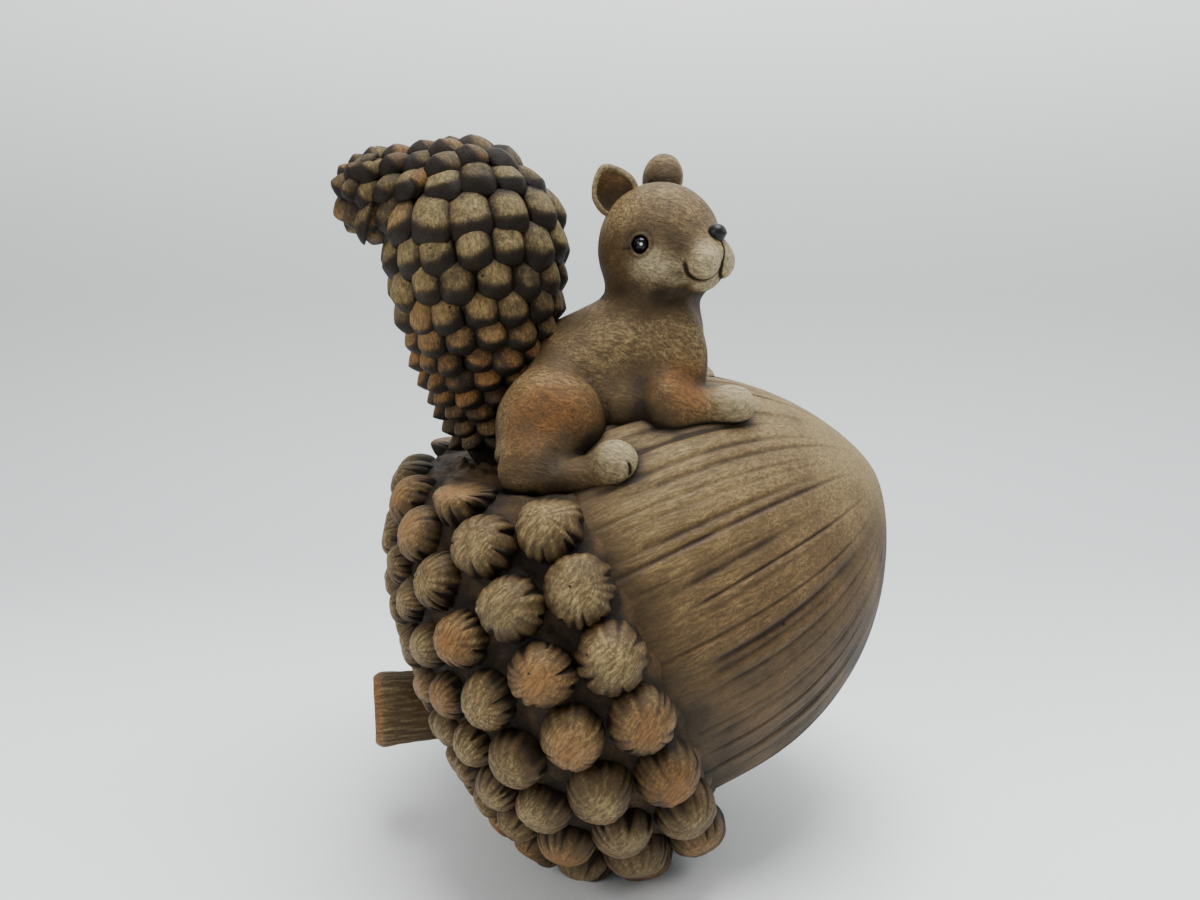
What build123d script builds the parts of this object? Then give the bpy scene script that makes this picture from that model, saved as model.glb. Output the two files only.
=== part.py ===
"""Squirrel figurine: a squirrel with a pine cone for a tail, lying over a big tilted acorn.

Millimetres, Z up. X is the way the squirrel faces and Y is its left. The origin is on the flat
base, under the centre of the acorn cup's rim. The acorn is two shells, a nut and a cup, joined
by a rabbet. Knobs cover the cup, and a stem is tenoned into it. The cup is cut flat at the
floor, and again above, as the saddle that carries the squirrel's rump and the tail.
Nothing moves: every piece is bonded to the larger piece that its seat is cut from.
"""

from build123d import *
import os
from math import cos, pi, radians, sin, tan

os.makedirs("parts", exist_ok=True)

# Fits
joint_gap = 0.3  # left all round between a piece and the curved seat that is cut for it
overrun = 400.0  # how far the flat cuts run past the figure
least_share = 0.22  # a knob or scale that is cut away beyond this share is left off

# The acorn's frame
rim_height = 114.5  # centre of the cup's rim above the floor
acorn_rise = 24.0  # degrees that the acorn's axis rises towards the nut's tip
acorn_turn = 9.2  # degrees that the tip turns to the squirrel's left

# Nut shell
nut_radius = 105.5
nut_spigot = 10.0  # length that stands in the cup, behind the rim's centre
nut_collar = 20.0  # straight length before the nut starts to close
nut_length = 144.0  # from the collar to the tip
nut_wall = 7.0
nut_flank_power = 2.41  # higher is fuller along the flank
nut_nose_power = 1.42  # lower is sharper at the tip

# Cup shell
cup_radius = 112.0
cup_depth = 87.5
cup_lip = 12.0  # length that laps over the nut
cup_lip_thickness = 3.6
cup_wall = 10.0
cup_droop = 12.0  # how far the cup's bottom hangs below the acorn's axis
cup_power = 2.6  # higher is squarer where the side turns into the bottom
saddle_height = 192.0  # the flat that carries the squirrel and the tail
saddle_roof = 8.0

# Knobs on the cup: rows from the lip to the stem
knob_lift = 4.5  # centres of the knobs stand this far out of the cup
knob_row_counts = (25, 25, 24, 24, 21, 18, 12)
knob_row_depths = (0.0, 29.7, 54.8, 71.0, 81.0, 87.0, 90.5)
knob_row_radii = (14.0, 13.4, 11.6, 9.6, 8.4, 7.4, 7.0)
knob_row_phases = (139.2, 135.8, 149.0, 143.0, 150.0, 146.0, 150.0)  # degrees of a row's first knob

# Stem
stem_radius = 17.0
stem_end_radius = 19.0
stem_length = 37.0
stem_edge = 2.5
stem_turn = 13.0  # degrees from straight back towards the squirrel's right
stem_tenon_radius = 11.0
stem_tenon_length = 14.0

# Squirrel's body
body_offset = -10.0  # the body's middle plane, from the acorn's
body_length = 102.0
body_height = 74.0
body_width = 74.0
body_rear = -48.0
body_middle_height = 236.0
body_wall = 8.0
neck_length = 66.0
neck_width = 51.0
neck_ahead = 28.0
neck_height = 266.0
# Sections of the body from rump to chest: place along, height of the centre, width and height
body_station_shares = (0.0, 0.08, 0.26, 0.47, 0.67, 0.84, 0.95, 1.0)
body_centre_shares = (-0.31, -0.30, -0.20, -0.04, 0.09, 0.14, 0.16, 0.16)
body_width_shares = (0.24, 0.62, 0.94, 1.0, 0.92, 0.74, 0.48, 0.20)
body_height_shares = (0.24, 0.62, 0.86, 1.0, 0.98, 0.82, 0.52, 0.22)

# Head
head_ahead = 32.0
head_side = -11.0
head_height = 300.0
head_turn = 45.0  # degrees that the head looks to the squirrel's right
head_length = 58.0
head_width = 56.0
head_wall = 7.0
snout_length = 36.0
snout_width = 27.0
snout_reach = 21.0
snout_drop = 6.0
pad_diameter = 17.0
pad_reach = 30.0
pad_spread = 6.2
pad_drop = 9.0
chin_diameter = 16.0
chin_reach = 25.0
chin_drop = 15.5
nose_length = 8.5
nose_width = 8.0
nose_reach = 37.0
nose_rise = 3.0
eye_diameter = 8.6
eye_reach = 13.5
eye_spread = 24.2
eye_drop = 0.5

# Ears
ear_height = 27.0
ear_width = 22.0
ear_thickness = 2.6
ear_back = 12.5
ear_spread = 17.5
ear_rise = 22.5
ear_tenon_radius = 2.4
ear_tenon_length = 9.0

# Legs: places of the right side ones, and how much higher their left twins ride on the nut
haunch_diameter = 49.0
haunch_width = 36.0
haunch_ahead = -17.5
haunch_out = 35.0
haunch_height = 219.0
haunch_lift = 10.0
hind_foot_length = 52.0
hind_foot_width = 18.0
hind_foot_ahead = -7.0
hind_foot_out = 54.0
hind_foot_height = 199.5
hind_foot_lift = 21.0
toe_diameter = 20.5
toe_ahead = 10.5
toe_height = 203.0
foot_rise = 8.0  # degrees
upper_arm_length = 48.0
upper_arm_width = 24.0
upper_arm_ahead = 40.0
upper_arm_out = 23.0
upper_arm_height = 241.0
forearm_length = 45.0
forearm_width = 18.0
forearm_ahead = 52.0
forearm_out = 30.0
forearm_height = 226.0
forearm_lift = 9.0
forepaw_length = 23.0
forepaw_width = 17.0
forepaw_ahead = 67.0
forepaw_out = 27.0
forepaw_height = 227.0

# Tail
tail_side = -8.0
tail_foot_ahead = -46.0
tail_lean = 5.0  # degrees that the tail leans back
tail_height = 152.0
tail_radius = 38.5
tail_wall = 7.0
tail_rise_shares = (0.0, 0.13, 0.28, 0.43, 0.57, 0.70, 0.82, 0.92, 0.98)
tail_radius_shares = (0.26, 0.50, 0.71, 0.85, 0.96, 1.0, 0.90, 0.64, 0.34)
tail_tenon_radius = 7.0
tip_ahead = -86.0
tip_height = 320.0
tip_length = 62.0
tip_width = 37.0
tip_lift = 6.0  # degrees that the curled tip points above level

# Scales on the tail: rows from the foot to the crown, then round the curled tip
scale_gap = 0.7  # from a scale's flat foot to the rounded tail under its middle
scale_stand = 5.0  # how far a scale stands out of the tail
scale_rise_shares = (0.0, 0.5, 1.0)
scale_width_shares = (1.0, 0.88, 0.45)
scale_row_counts = (9, 10, 11, 12, 13, 14, 14, 15, 15, 15, 13, 12, 8)
scale_row_rises = (16.0, 23.5, 31.0, 39.0, 47.0, 56.0, 66.0, 77.5, 91.0, 105.5, 120.0, 133.5, 144.5)
tip_row_counts = (11, 9, 6)
tip_row_reaches = (10.0, 19.5, 27.5)


# The acorn's frame, worked out
flat_axis = Vector(cos(radians(acorn_turn)), sin(radians(acorn_turn)), 0)
acorn_axis = flat_axis * cos(radians(acorn_rise)) + Vector(0, 0, sin(radians(acorn_rise)))
acorn_side = Vector(-sin(radians(acorn_turn)), cos(radians(acorn_turn)), 0)
rim_centre = Vector(0, 0, rim_height)
rim_plane = Plane(origin=rim_centre, x_dir=acorn_side, z_dir=acorn_axis)
profile_plane = Plane(origin=rim_centre, x_dir=acorn_axis, z_dir=acorn_side * -1)
nut_line = Axis(rim_centre, acorn_axis)


def save(builder, name):
    """Label a finished piece and write it as its own file."""
    builder.part.label = name
    export_step(builder.part, f"parts/{name}.step")


def whole_solids(part, smallest):
    """The solids of a part that are not slivers."""
    return [solid for solid in part.solids() if solid.volume > smallest]


def oval(length, width):
    """Half an oval of two tangent arcs: the points, where the end arc meets the belly arc."""
    a = length / 2
    b = width / 2
    end_radius = b * b / a
    belly_radius = a * (a + b) / (2 * b)
    end_centre = Vector(a - end_radius, 0)
    belly_centre = Vector(0, b - belly_radius)
    way = (end_centre - belly_centre).normalized()
    if belly_radius < end_radius:
        way = way * -1
    return end_centre + way * end_radius


def spheroid(centre, along, length, width, grow=0.0):
    """An egg of revolution: its length lies along one direction, and it is round across it."""
    direction = Vector(*along).normalized()
    helper = Vector(0, 1, 0) if abs(direction.Y) < abs(direction.Z) else Vector(0, 0, 1)
    plane = Plane(origin=Vector(*centre), x_dir=direction, z_dir=direction.cross(helper))
    a = length / 2 + grow
    b = width / 2 + grow
    with BuildPart(plane) as form:
        if length == width:
            Sphere(b)
        else:
            meeting = oval(2 * a, 2 * b)
            mirrored = (-meeting.X, meeting.Y)
            with BuildSketch(plane) as half:
                with BuildLine():
                    TangentArc((a, 0), (meeting.X, meeting.Y), tangent=(0, 1))
                    ThreePointArc((meeting.X, meeting.Y), (0, b), mirrored)
                    TangentArc((-a, 0), mirrored, tangent=(0, 1))
                    Line((-a, 0), (a, 0))
                make_face()
            revolve(axis=Axis(plane.origin, direction))
    return form.part


def below(height):
    """Everything under a level, for flat cuts."""
    with BuildPart(Plane.XY.offset(height)) as block:
        Box(overrun * 2, overrun * 2, overrun, align=(Align.CENTER, Align.CENTER, Align.MAX))
    return block.part


def above(height):
    """Everything over a level, for flat cuts."""
    with BuildPart(Plane.XY.offset(height)) as block:
        Box(overrun * 2, overrun * 2, overrun, align=(Align.CENTER, Align.CENTER, Align.MIN))
    return block.part


def nut_curve(radius, length, count=9):
    """Points of the nut's side from its collar to its tip, a superellipse quarter."""
    points = []
    for step in range(count):
        angle = step / (count - 1) * pi / 2
        reach = length * sin(angle) ** (2 / nut_flank_power)
        across = radius * max(cos(angle), 0) ** (2 / nut_nose_power)
        points.append((nut_collar + reach, across))
    points[-1] = (nut_collar + length, 0)
    return points


def nut_form(grow=0.0):
    """The nut filled in, which seats are cut with."""
    radius = nut_radius + grow
    curve = nut_curve(radius, nut_length + grow)
    with BuildPart() as form:
        with BuildSketch(profile_plane) as half:
            with BuildLine():
                Line((-nut_spigot - grow, radius), curve[0])
                Spline(*curve, tangents=[(1, 0), (0, -1)])
                Polyline(curve[-1], (-nut_spigot - grow, 0), (-nut_spigot - grow, radius))
            make_face()
        revolve(axis=nut_line)
    return form.part


def cup_radius_at(depth, radius, reach):
    """The cup's radius at a depth behind the rim."""
    share = min(max(depth, 0) / reach, 1)
    return radius * (1 - share**cup_power) ** (1 / cup_power)


def cup_droop_at(depth):
    """How far the cup's centre has dropped below the acorn's axis at a depth."""
    return cup_droop * (max(depth, 0) / cup_depth) ** 2


def cup_form(grow=0.0):
    """The cup's outside filled in: round sections whose centres droop towards the stem."""
    radius = cup_radius + grow
    reach = cup_depth + grow
    stations = [-cup_lip - grow, -cup_lip / 2, 0] + [
        reach * sin(radians(angle)) for angle in (16, 31, 45, 57, 67, 75, 82)
    ]
    with BuildPart() as form:
        for depth in stations:
            shrink = cup_lip_thickness * (max(-depth, 0) / cup_lip) ** 2 / 2
            with BuildSketch(rim_plane.offset(-depth)):
                with Locations((0, -cup_droop_at(depth))):
                    Circle(cup_radius_at(depth, radius, reach) - shrink)
        loft()
    return form.part


def make_nut_shell():
    outer = nut_curve(nut_radius, nut_length)
    inner = nut_curve(nut_radius - nut_wall, nut_length - nut_wall)
    with BuildPart() as nut_shell:
        with BuildSketch(profile_plane) as half:
            with BuildLine():
                Line((-nut_spigot, nut_radius), outer[0])
                Spline(*outer, tangents=[(1, 0), (0, -1)])
                Line(outer[-1], inner[-1])
                Spline(*inner, tangents=[(1, 0), (0, -1)])
                Polyline(inner[0], (-nut_spigot, nut_radius - nut_wall), (-nut_spigot, nut_radius))
            make_face()
        revolve(axis=nut_line)
    save(nut_shell, "nut_shell")


def stem_frame():
    """Where the stem's axis crosses the cup's bottom, and the way that the stem points."""
    root = rim_plane.from_local_coords((0, -cup_droop, -cup_depth))
    way = Vector(-cos(radians(stem_turn)), -sin(radians(stem_turn)), 0)
    return root, way


def make_cup_shell():
    root, way = stem_frame()
    with BuildPart() as hollow:
        inside = cup_radius - cup_wall
        for angle in (6, 18, 33, 47, 59, 69, 77):
            depth = (cup_depth - cup_wall) * sin(radians(angle))
            with BuildSketch(rim_plane.offset(-depth)):
                with Locations((0, -cup_droop_at(depth))):
                    Circle(cup_radius_at(depth, inside, cup_depth - cup_wall))
        loft()
        add(above(saddle_height - saddle_roof), mode=Mode.SUBTRACT)
    with BuildPart() as cup_shell:
        add(cup_form())
        add(hollow.part, mode=Mode.SUBTRACT)
        with BuildSketch(rim_plane.offset(-nut_spigot)):
            Circle(nut_radius + joint_gap)
        extrude(amount=nut_spigot + cup_lip + overrun, mode=Mode.SUBTRACT)
        with BuildSketch(Plane(origin=root - way * overrun / 2, z_dir=way)):
            Circle(stem_tenon_radius + joint_gap)
        extrude(amount=overrun, mode=Mode.SUBTRACT)
        with BuildSketch(Plane.XY.offset(saddle_height)):
            with Locations((tail_foot_ahead, tail_side)):
                Circle(tail_tenon_radius + joint_gap)
        extrude(amount=-saddle_roof, mode=Mode.SUBTRACT)
        add(above(saddle_height), mode=Mode.SUBTRACT)
        add(below(0), mode=Mode.SUBTRACT)
    save(cup_shell, "cup_shell")
    return cup_shell.part


def body_form(grow=0.0):
    """The body and neck filled in: round sections from rump to chest, and the neck's egg."""
    with BuildPart() as trunk:
        for station, centre, width, height in zip(
            body_station_shares, body_centre_shares, body_width_shares, body_height_shares
        ):
            middle = body_middle_height + centre * body_height
            with BuildSketch(Plane.YZ.offset(body_rear + station * body_length)):
                with Locations((body_offset, middle)):
                    Ellipse(width * body_width / 2 + grow, height * body_height / 2 + grow)
        loft()
        add(spheroid((neck_ahead, body_offset, neck_height), (0, 0, 1), neck_length, neck_width, grow))
    return trunk.part


def head_frame():
    """The head's centre, and its forward, right and up directions."""
    turn = radians(head_turn)
    forward = Vector(cos(turn), -sin(turn), 0)
    right = Vector(-sin(turn), -cos(turn), 0)
    return Vector(head_ahead, head_side, head_height), forward, right, Vector(0, 0, 1)


def on_head(reach, out, rise):
    """A point given ahead of, to the right of and above the head's centre."""
    centre, forward, right, up = head_frame()
    return centre + forward * reach + right * out + up * rise


def head_form(grow=0.0):
    """The head filled in: the skull, the snout, two cheek pads and the chin."""
    centre, forward, right, up = head_frame()
    with BuildPart() as form:
        add(spheroid(centre, forward, head_length, head_width, grow))
        add(spheroid(on_head(snout_reach, 0, -snout_drop), forward, snout_length, snout_width, grow))
        for side in (1, -1):
            pad = on_head(pad_reach, side * pad_spread, -pad_drop)
            add(spheroid(pad, forward, pad_diameter, pad_diameter, grow))
        chin = on_head(chin_reach, 0, -chin_drop)
        add(spheroid(chin, right, chin_diameter, chin_diameter, grow))
    return form.part


def eye_form(side, grow=0.0):
    return spheroid(on_head(eye_reach, side * eye_spread, -eye_drop), (0, 0, 1), eye_diameter, eye_diameter, grow)


def nose_form(grow=0.0):
    centre, forward, right, up = head_frame()
    return spheroid(on_head(nose_reach, 0, nose_rise), right, nose_length, nose_width, grow)


def ear_frame(side):
    """An ear's centre, the way its tip points and the way its hollow faces."""
    centre, forward, right, up = head_frame()
    middle = on_head(-ear_back, side * ear_spread, ear_rise)
    tip_way = (up - forward * 0.35 + right * side * 0.3).normalized()
    face_way = forward + right * side
    face_way = (face_way - tip_way * face_way.dot(tip_way)).normalized()
    return middle, tip_way, face_way


def ear_tenon(side, grow=0.0):
    """The round peg under an ear, which stands in the head."""
    middle, tip_way, face_way = ear_frame(side)
    foot = middle - tip_way * ear_tenon_length - face_way * (ear_width / 2 - ear_tenon_radius)
    with BuildPart() as peg:
        with BuildSketch(Plane(origin=foot, z_dir=tip_way)):
            Circle(ear_tenon_radius + grow)
        extrude(amount=ear_tenon_length + ear_thickness / 2)
    return peg.part


def make_ear(side, name):
    middle, tip_way, face_way = ear_frame(side)
    with BuildPart() as ear:
        add(spheroid(middle, tip_way, ear_height, ear_width))
        hollow = middle + face_way * ear_thickness
        scooped = spheroid(
            hollow, tip_way, ear_height - 2 * ear_thickness, ear_width - 2 * ear_thickness, ear_thickness / 2
        )
        add(scooped, mode=Mode.SUBTRACT)
        with BuildSketch(Plane(origin=middle, z_dir=face_way)):
            Rectangle(overrun, overrun)
        extrude(amount=overrun, mode=Mode.SUBTRACT)
        add(head_form(joint_gap), mode=Mode.SUBTRACT)
        add(ear_tenon(side))
    save(ear, name)


def make_head(body_seat):
    """The head: hollow, with sockets for eyes and ears and a recess for the nose."""
    centre, forward, right, up = head_frame()
    with BuildPart() as head:
        add(head_form())
        hollow = spheroid(centre, forward, head_length - 2 * head_wall, head_width - 2 * head_wall)
        add(hollow, mode=Mode.SUBTRACT)
        add(body_seat, mode=Mode.SUBTRACT)
        add(nose_form(joint_gap), mode=Mode.SUBTRACT)
        for side in (1, -1):
            add(eye_form(side, joint_gap), mode=Mode.SUBTRACT)
            add(ear_tenon(side, joint_gap), mode=Mode.SUBTRACT)
    save(head, "head")


def make_body(nut_seat):
    """The body and neck: hollow, and seated on the nut and on the cup's saddle."""
    middle = body_rear + body_length / 2
    hollow_length = body_length - 3 * body_wall
    hollow_width = min(body_width, body_height) - 2 * body_wall
    with BuildPart() as body:
        add(body_form())
        hollow = spheroid((middle, body_offset, body_middle_height), (1, 0, 0), hollow_length, hollow_width)
        add(hollow, mode=Mode.SUBTRACT)
        add(nut_seat, mode=Mode.SUBTRACT)
        add(below(saddle_height), mode=Mode.SUBTRACT)
        kept = max(body.part.solids(), key=lambda solid: solid.volume)
        add(kept, mode=Mode.REPLACE)
    save(body, "body")


def limb_place(side, ahead, out, height, lift):
    """Right side limbs have side 1; the left ones ride higher on the nut."""
    return (ahead, body_offset - side * out, height if side > 0 else height + lift)


def haunch_form(side, grow=0.0):
    place = limb_place(side, haunch_ahead, haunch_out, haunch_height, haunch_lift)
    return spheroid(place, (0, 1, 0), haunch_width, haunch_diameter, grow)


def hind_foot_form(side, grow=0.0):
    """The sole's egg and the ball of toes at its end."""
    sole = limb_place(side, hind_foot_ahead, hind_foot_out, hind_foot_height, hind_foot_lift)
    toes = limb_place(side, toe_ahead, hind_foot_out, toe_height, hind_foot_lift)
    way = (cos(radians(foot_rise)), 0, sin(radians(foot_rise)))
    with BuildPart() as form:
        add(spheroid(sole, way, hind_foot_length, hind_foot_width, grow))
        add(spheroid(toes, way, toe_diameter, toe_diameter, grow))
    return form.part


def foreleg_form(side, grow=0.0):
    """The upper arm's egg, steep, and the forearm's, which reaches forward."""
    arm = limb_place(side, upper_arm_ahead, upper_arm_out, upper_arm_height, 0)
    fore = limb_place(side, forearm_ahead, forearm_out, forearm_height, forearm_lift)
    with BuildPart() as form:
        add(spheroid(arm, (-0.16, -0.25 * side, -1), upper_arm_length, upper_arm_width, grow))
        add(spheroid(fore, (1, 0.19 * side, 0.17), forearm_length, forearm_width, grow))
    return form.part


def forepaw_form(side, grow=0.0):
    paw = limb_place(side, forepaw_ahead, forepaw_out, forepaw_height, forearm_lift)
    return spheroid(paw, (1, 0.1 * side, 0.0), forepaw_length, forepaw_width, grow)


def make_limb(form, seats, name):
    """A limb cut to the larger pieces that it is bonded to; slivers inside them are dropped."""
    with BuildPart() as limb:
        add(form)
        for seat in seats:
            add(seat, mode=Mode.SUBTRACT)
        kept = max(limb.part.solids(), key=lambda solid: solid.volume)
        add(kept, mode=Mode.REPLACE)
    save(limb, name)
    return limb.part


def tail_frame():
    """The tail's foot on the saddle, its long direction and its forward direction."""
    lean = radians(tail_lean)
    foot = Vector(tail_foot_ahead, tail_side, saddle_height)
    return foot, Vector(-sin(lean), 0, cos(lean)), Vector(cos(lean), 0, sin(lean))


def tip_way():
    return Vector(-cos(radians(tip_lift)), 0, sin(radians(tip_lift)))


def tail_radius_at(rise):
    """The tail's radius at a height along it, between the sections that shape it."""
    share = rise / tail_height
    stations = tail_rise_shares + (1.0,)
    radii = tail_radius_shares + (0.0,)
    for low, high, radius_low, radius_high in zip(stations, stations[1:], radii, radii[1:]):
        if share <= high:
            blend = (share - low) / (high - low)
            return tail_radius * (radius_low + (radius_high - radius_low) * blend)
    return 0.0


def tail_core_form(grow=0.0):
    """The tail's turned cone with a rounded crown, filled in."""
    foot, long_way, forward = tail_frame()
    plane = Plane(origin=foot, x_dir=long_way, z_dir=long_way.cross(forward))
    curve = [
        (rise * tail_height, radius * tail_radius + grow)
        for rise, radius in zip(tail_rise_shares, tail_radius_shares)
    ]
    crown = (tail_height + grow, 0)
    with BuildPart() as form:
        with BuildSketch(plane) as half:
            with BuildLine():
                Spline(*curve, crown, tangents=[(1, 1), (0, -1)])
                Polyline(crown, (0, 0), curve[0])
            make_face()
        revolve(axis=Axis(foot, long_way))
    return form.part


def tail_form(grow=0.0):
    """The tail's core filled in: the turned cone, and the tip curled back."""
    with BuildPart() as form:
        add(tail_core_form(grow))
        add(spheroid((tip_ahead, tail_side, tip_height), tip_way(), tip_length, tip_width, grow))
    return form.part


def make_tail_core(seats):
    foot, long_way, forward = tail_frame()
    inner_width = 2 * (tail_radius - tail_wall)
    inner_length = tail_height - 4 * tail_wall
    with BuildPart() as core:
        add(tail_form())
        middle = foot + long_way * (tail_height - tail_wall - inner_length / 2)
        add(spheroid(middle, long_way, inner_length, inner_width), mode=Mode.SUBTRACT)
        for seat in seats:
            add(seat, mode=Mode.SUBTRACT)
        add(below(saddle_height), mode=Mode.SUBTRACT)
        with BuildSketch(Plane.XY.offset(saddle_height - saddle_roof)):
            with Locations((tail_foot_ahead, tail_side)):
                Circle(tail_tenon_radius)
        extrude(amount=saddle_roof + tail_tenon_radius)
    save(core, "tail_core")


def ring_of_places(centre, axis_way, start_way, radius, slope, count, phase):
    """Planes in a ring about an axis, each lying on the sloped surface that it touches."""
    side_way = axis_way.cross(start_way)
    places = []
    for index in range(count):
        angle = 2 * pi * (index + phase) / count
        outward = start_way * cos(angle) + side_way * sin(angle)
        normal = (outward - axis_way * slope).normalized()
        origin = centre + outward * radius + normal * scale_gap
        places.append(Plane(origin=origin, x_dir=axis_way.cross(outward), z_dir=normal))
    return places


def scale_form(width, span):
    """One scale: an oval foot that domes up to a small oval top."""
    with BuildPart() as scale:
        for rise, share in zip(scale_rise_shares, scale_width_shares):
            with BuildSketch(Plane.XY.offset(rise * scale_stand)):
                Ellipse(share * width / 2, share * span / 2)
        loft()
    return scale.part


def points_inside(place, width, span, solids):
    """How many of five points across a scale's middle height lie in other solids."""
    spots = ((0, 0), (width / 2, 0), (-width / 2, 0), (0, span / 2), (0, -span / 2))
    points = [place.from_local_coords((x, y, scale_stand / 2)) for x, y in spots]
    return sum(any(solid.is_inside(point) for solid in solids) for point in points)


def scale_width(radius, slope, count, span):
    """The widest oval foot that leaves a gap to its neighbours in a sloped ring."""
    level = span / 2 * abs(slope) / (1 + slope**2) ** 0.5
    return 2 * (radius**2 - level**2) ** 0.5 * tan(pi / count) - joint_gap / cos(pi / count)


def make_scale_row(places, width, span, seats, name):
    """A ring of scales on the tail: buried ones are left off, and half buried ones are cut."""
    solids = [solid for seat in seats for solid in seat.solids()]
    form = scale_form(width, span)
    kept = []
    half_buried = False
    for place in places:
        hidden = points_inside(place, width, span, solids)
        half_buried = half_buried or 0 < hidden < 3
        if hidden < 3:
            kept.append(place)
    with BuildPart() as row:
        with Locations(*kept):
            add(form)
        if half_buried:
            for seat in seats:
                add(seat, mode=Mode.SUBTRACT)
            add(whole_solids(row.part, least_share * form.volume), mode=Mode.REPLACE)
    save(row, name)


def make_scale_rows(seats):
    """Rows of scales up the tail, then round its curled tip."""
    foot, long_way, forward = tail_frame()
    tip_middle = Vector(tip_ahead, tail_side, tip_height)
    tip_seat = spheroid(tip_middle, tip_way(), tip_length, tip_width, scale_stand + joint_gap)
    for row, (rise, count) in enumerate(zip(scale_row_rises, scale_row_counts)):
        nearby = [abs(rise - other) for other in scale_row_rises if other != rise]
        step = min(nearby) / 2
        radius = tail_radius_at(rise)
        slope = (tail_radius_at(rise + step) - tail_radius_at(rise - step)) / (2 * step)
        centre = foot + long_way * rise
        places = ring_of_places(centre, long_way, forward, radius, slope, count, row % 2 / 2)
        name = f"tail_scales_row_{row + 1:02d}"
        span = 2 * step - joint_gap
        width = scale_width(radius, slope, count, span)
        make_scale_row(places, width, span, seats + [tip_seat], name)
    way = tip_way()
    up = Vector(0, 1, 0).cross(way) * -1
    half = tip_length / 2
    crown = tail_core_form(scale_stand + joint_gap)
    for row, (reach, count) in enumerate(zip(tip_row_reaches, tip_row_counts)):
        nearby = [abs(reach - other) for other in tip_row_reaches if other != reach]
        radius = tip_width / 2 * (1 - (reach / half) ** 2) ** 0.5
        slope = -((tip_width / tip_length) ** 2) * reach / radius
        places = ring_of_places(tip_middle + way * reach, way, up, radius, slope, count, row % 2 / 2)
        name = f"tail_tip_scales_row_{row + 1}"
        span = min(nearby) - joint_gap
        make_scale_row(places, scale_width(radius, slope, count, span), span, [crown], name)


def knob_form(radius):
    """A knob: a ball cut flat under its centre, standing on the XY plane."""
    with BuildPart() as knob:
        with Locations((0, 0, knob_lift)):
            Sphere(radius)
        split(bisect_by=Plane.XY)
    return knob.part


def knob_places(row):
    """Planes on the cup where a row's knobs stand, without those that the stem takes."""
    depth = knob_row_depths[row]
    count = knob_row_counts[row]
    root, way = stem_frame()
    room = stem_radius + knob_row_radii[row] + joint_gap
    places = []
    for index in range(count):
        angle = radians(knob_row_phases[row]) - 2 * pi * index / count
        normal, spot = on_cup(depth, angle)
        offset = spot - root
        reach = offset.dot(way)
        across = (offset - way * reach).length
        if across > room or reach < -stem_radius:
            places.append(Plane(origin=spot + normal * joint_gap, z_dir=normal))
    return places


def on_cup(depth, angle):
    """The cup's outward direction and surface point at a depth and an angle round its axis."""
    share = min(max(depth, 0) / (cup_depth + knob_lift), 1)
    out_share = (1 - share**cup_power) ** (1 / cup_power)
    reach = cup_depth * share
    across = cup_radius * out_share * cos(angle)
    up = cup_radius * out_share * sin(angle) - cup_droop_at(reach)
    spot = rim_plane.from_local_coords((across, up, -reach))
    outward = acorn_side * cos(angle) + rim_plane.y_dir * sin(angle)
    steep = out_share ** (cup_power - 1) / cup_radius
    flat = share ** (cup_power - 1) / cup_depth
    normal = (outward * steep - acorn_axis * flat).normalized()
    return normal, spot


def make_knob_row(row):
    """A ring of knobs, cut flat at the floor and at the saddle."""
    form = knob_form(knob_row_radii[row])
    with BuildPart() as knobs:
        with Locations(*knob_places(row)):
            add(form)
        add(above(saddle_height), mode=Mode.SUBTRACT)
        add(below(0), mode=Mode.SUBTRACT)
        add(whole_solids(knobs.part, least_share * form.volume), mode=Mode.REPLACE)
    save(knobs, f"cup_knobs_row_{row + 1}")


def make_stem(cup_seat):
    """The stem: a flared stub with a worn edge, on a round tenon that stands in the cup."""
    root, way = stem_frame()
    back = Plane(origin=root - way * stem_edge, z_dir=way)
    with BuildPart() as stem:
        with BuildSketch(back):
            Circle(stem_radius)
        with BuildSketch(back.offset(stem_length / 2)):
            Circle(stem_radius)
        with BuildSketch(back.offset(stem_length + stem_edge)):
            Circle(stem_end_radius)
        loft()
        fillet(stem.edges().sort_by(Axis(root, way))[-1], radius=stem_edge)
        add(cup_seat, mode=Mode.SUBTRACT)
        with BuildSketch(Plane(origin=root - way * stem_tenon_length, z_dir=way)):
            Circle(stem_tenon_radius)
        extrude(amount=stem_tenon_length + stem_edge)
    save(stem, "stem")
    return stem.part


def main():
    nut_seat = nut_form(joint_gap)
    cup_seat = cup_form(joint_gap)
    body_seat = body_form(joint_gap)
    tail_seat = tail_form(joint_gap)
    floor_seat = below(saddle_height)
    make_nut_shell()
    make_cup_shell()
    make_stem(cup_seat)
    for row in range(len(knob_row_counts)):
        make_knob_row(row)
    make_body(nut_seat)
    make_head(body_seat)
    make_tail_core([body_seat, nut_seat])
    save_beads()
    haunches = []
    for side, word in ((1, "right"), (-1, "left")):
        haunch = haunch_form(side, joint_gap)
        haunches.append(haunch)
        make_ear(side, f"ear_{word}")
        make_limb(haunch_form(side), [nut_seat, body_seat, tail_seat, floor_seat], f"haunch_{word}")
        foot_seats = [nut_seat, body_seat, haunch, floor_seat]
        make_limb(hind_foot_form(side), foot_seats, f"hind_foot_{word}")
        paw = forepaw_form(side, joint_gap)
        make_limb(foreleg_form(side), [nut_seat, body_seat, haunch, paw], f"foreleg_{word}")
        make_limb(forepaw_form(side), [nut_seat], f"forepaw_{word}")
    make_scale_rows([body_seat, nut_seat] + haunches)


def save_beads():
    """The two bead eyes and the nose."""
    for side, word in ((1, "right"), (-1, "left")):
        with BuildPart() as eye:
            add(eye_form(side))
        save(eye, f"eye_{word}")
    with BuildPart() as nose:
        add(nose_form())
    save(nose, "nose")


main()
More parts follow.
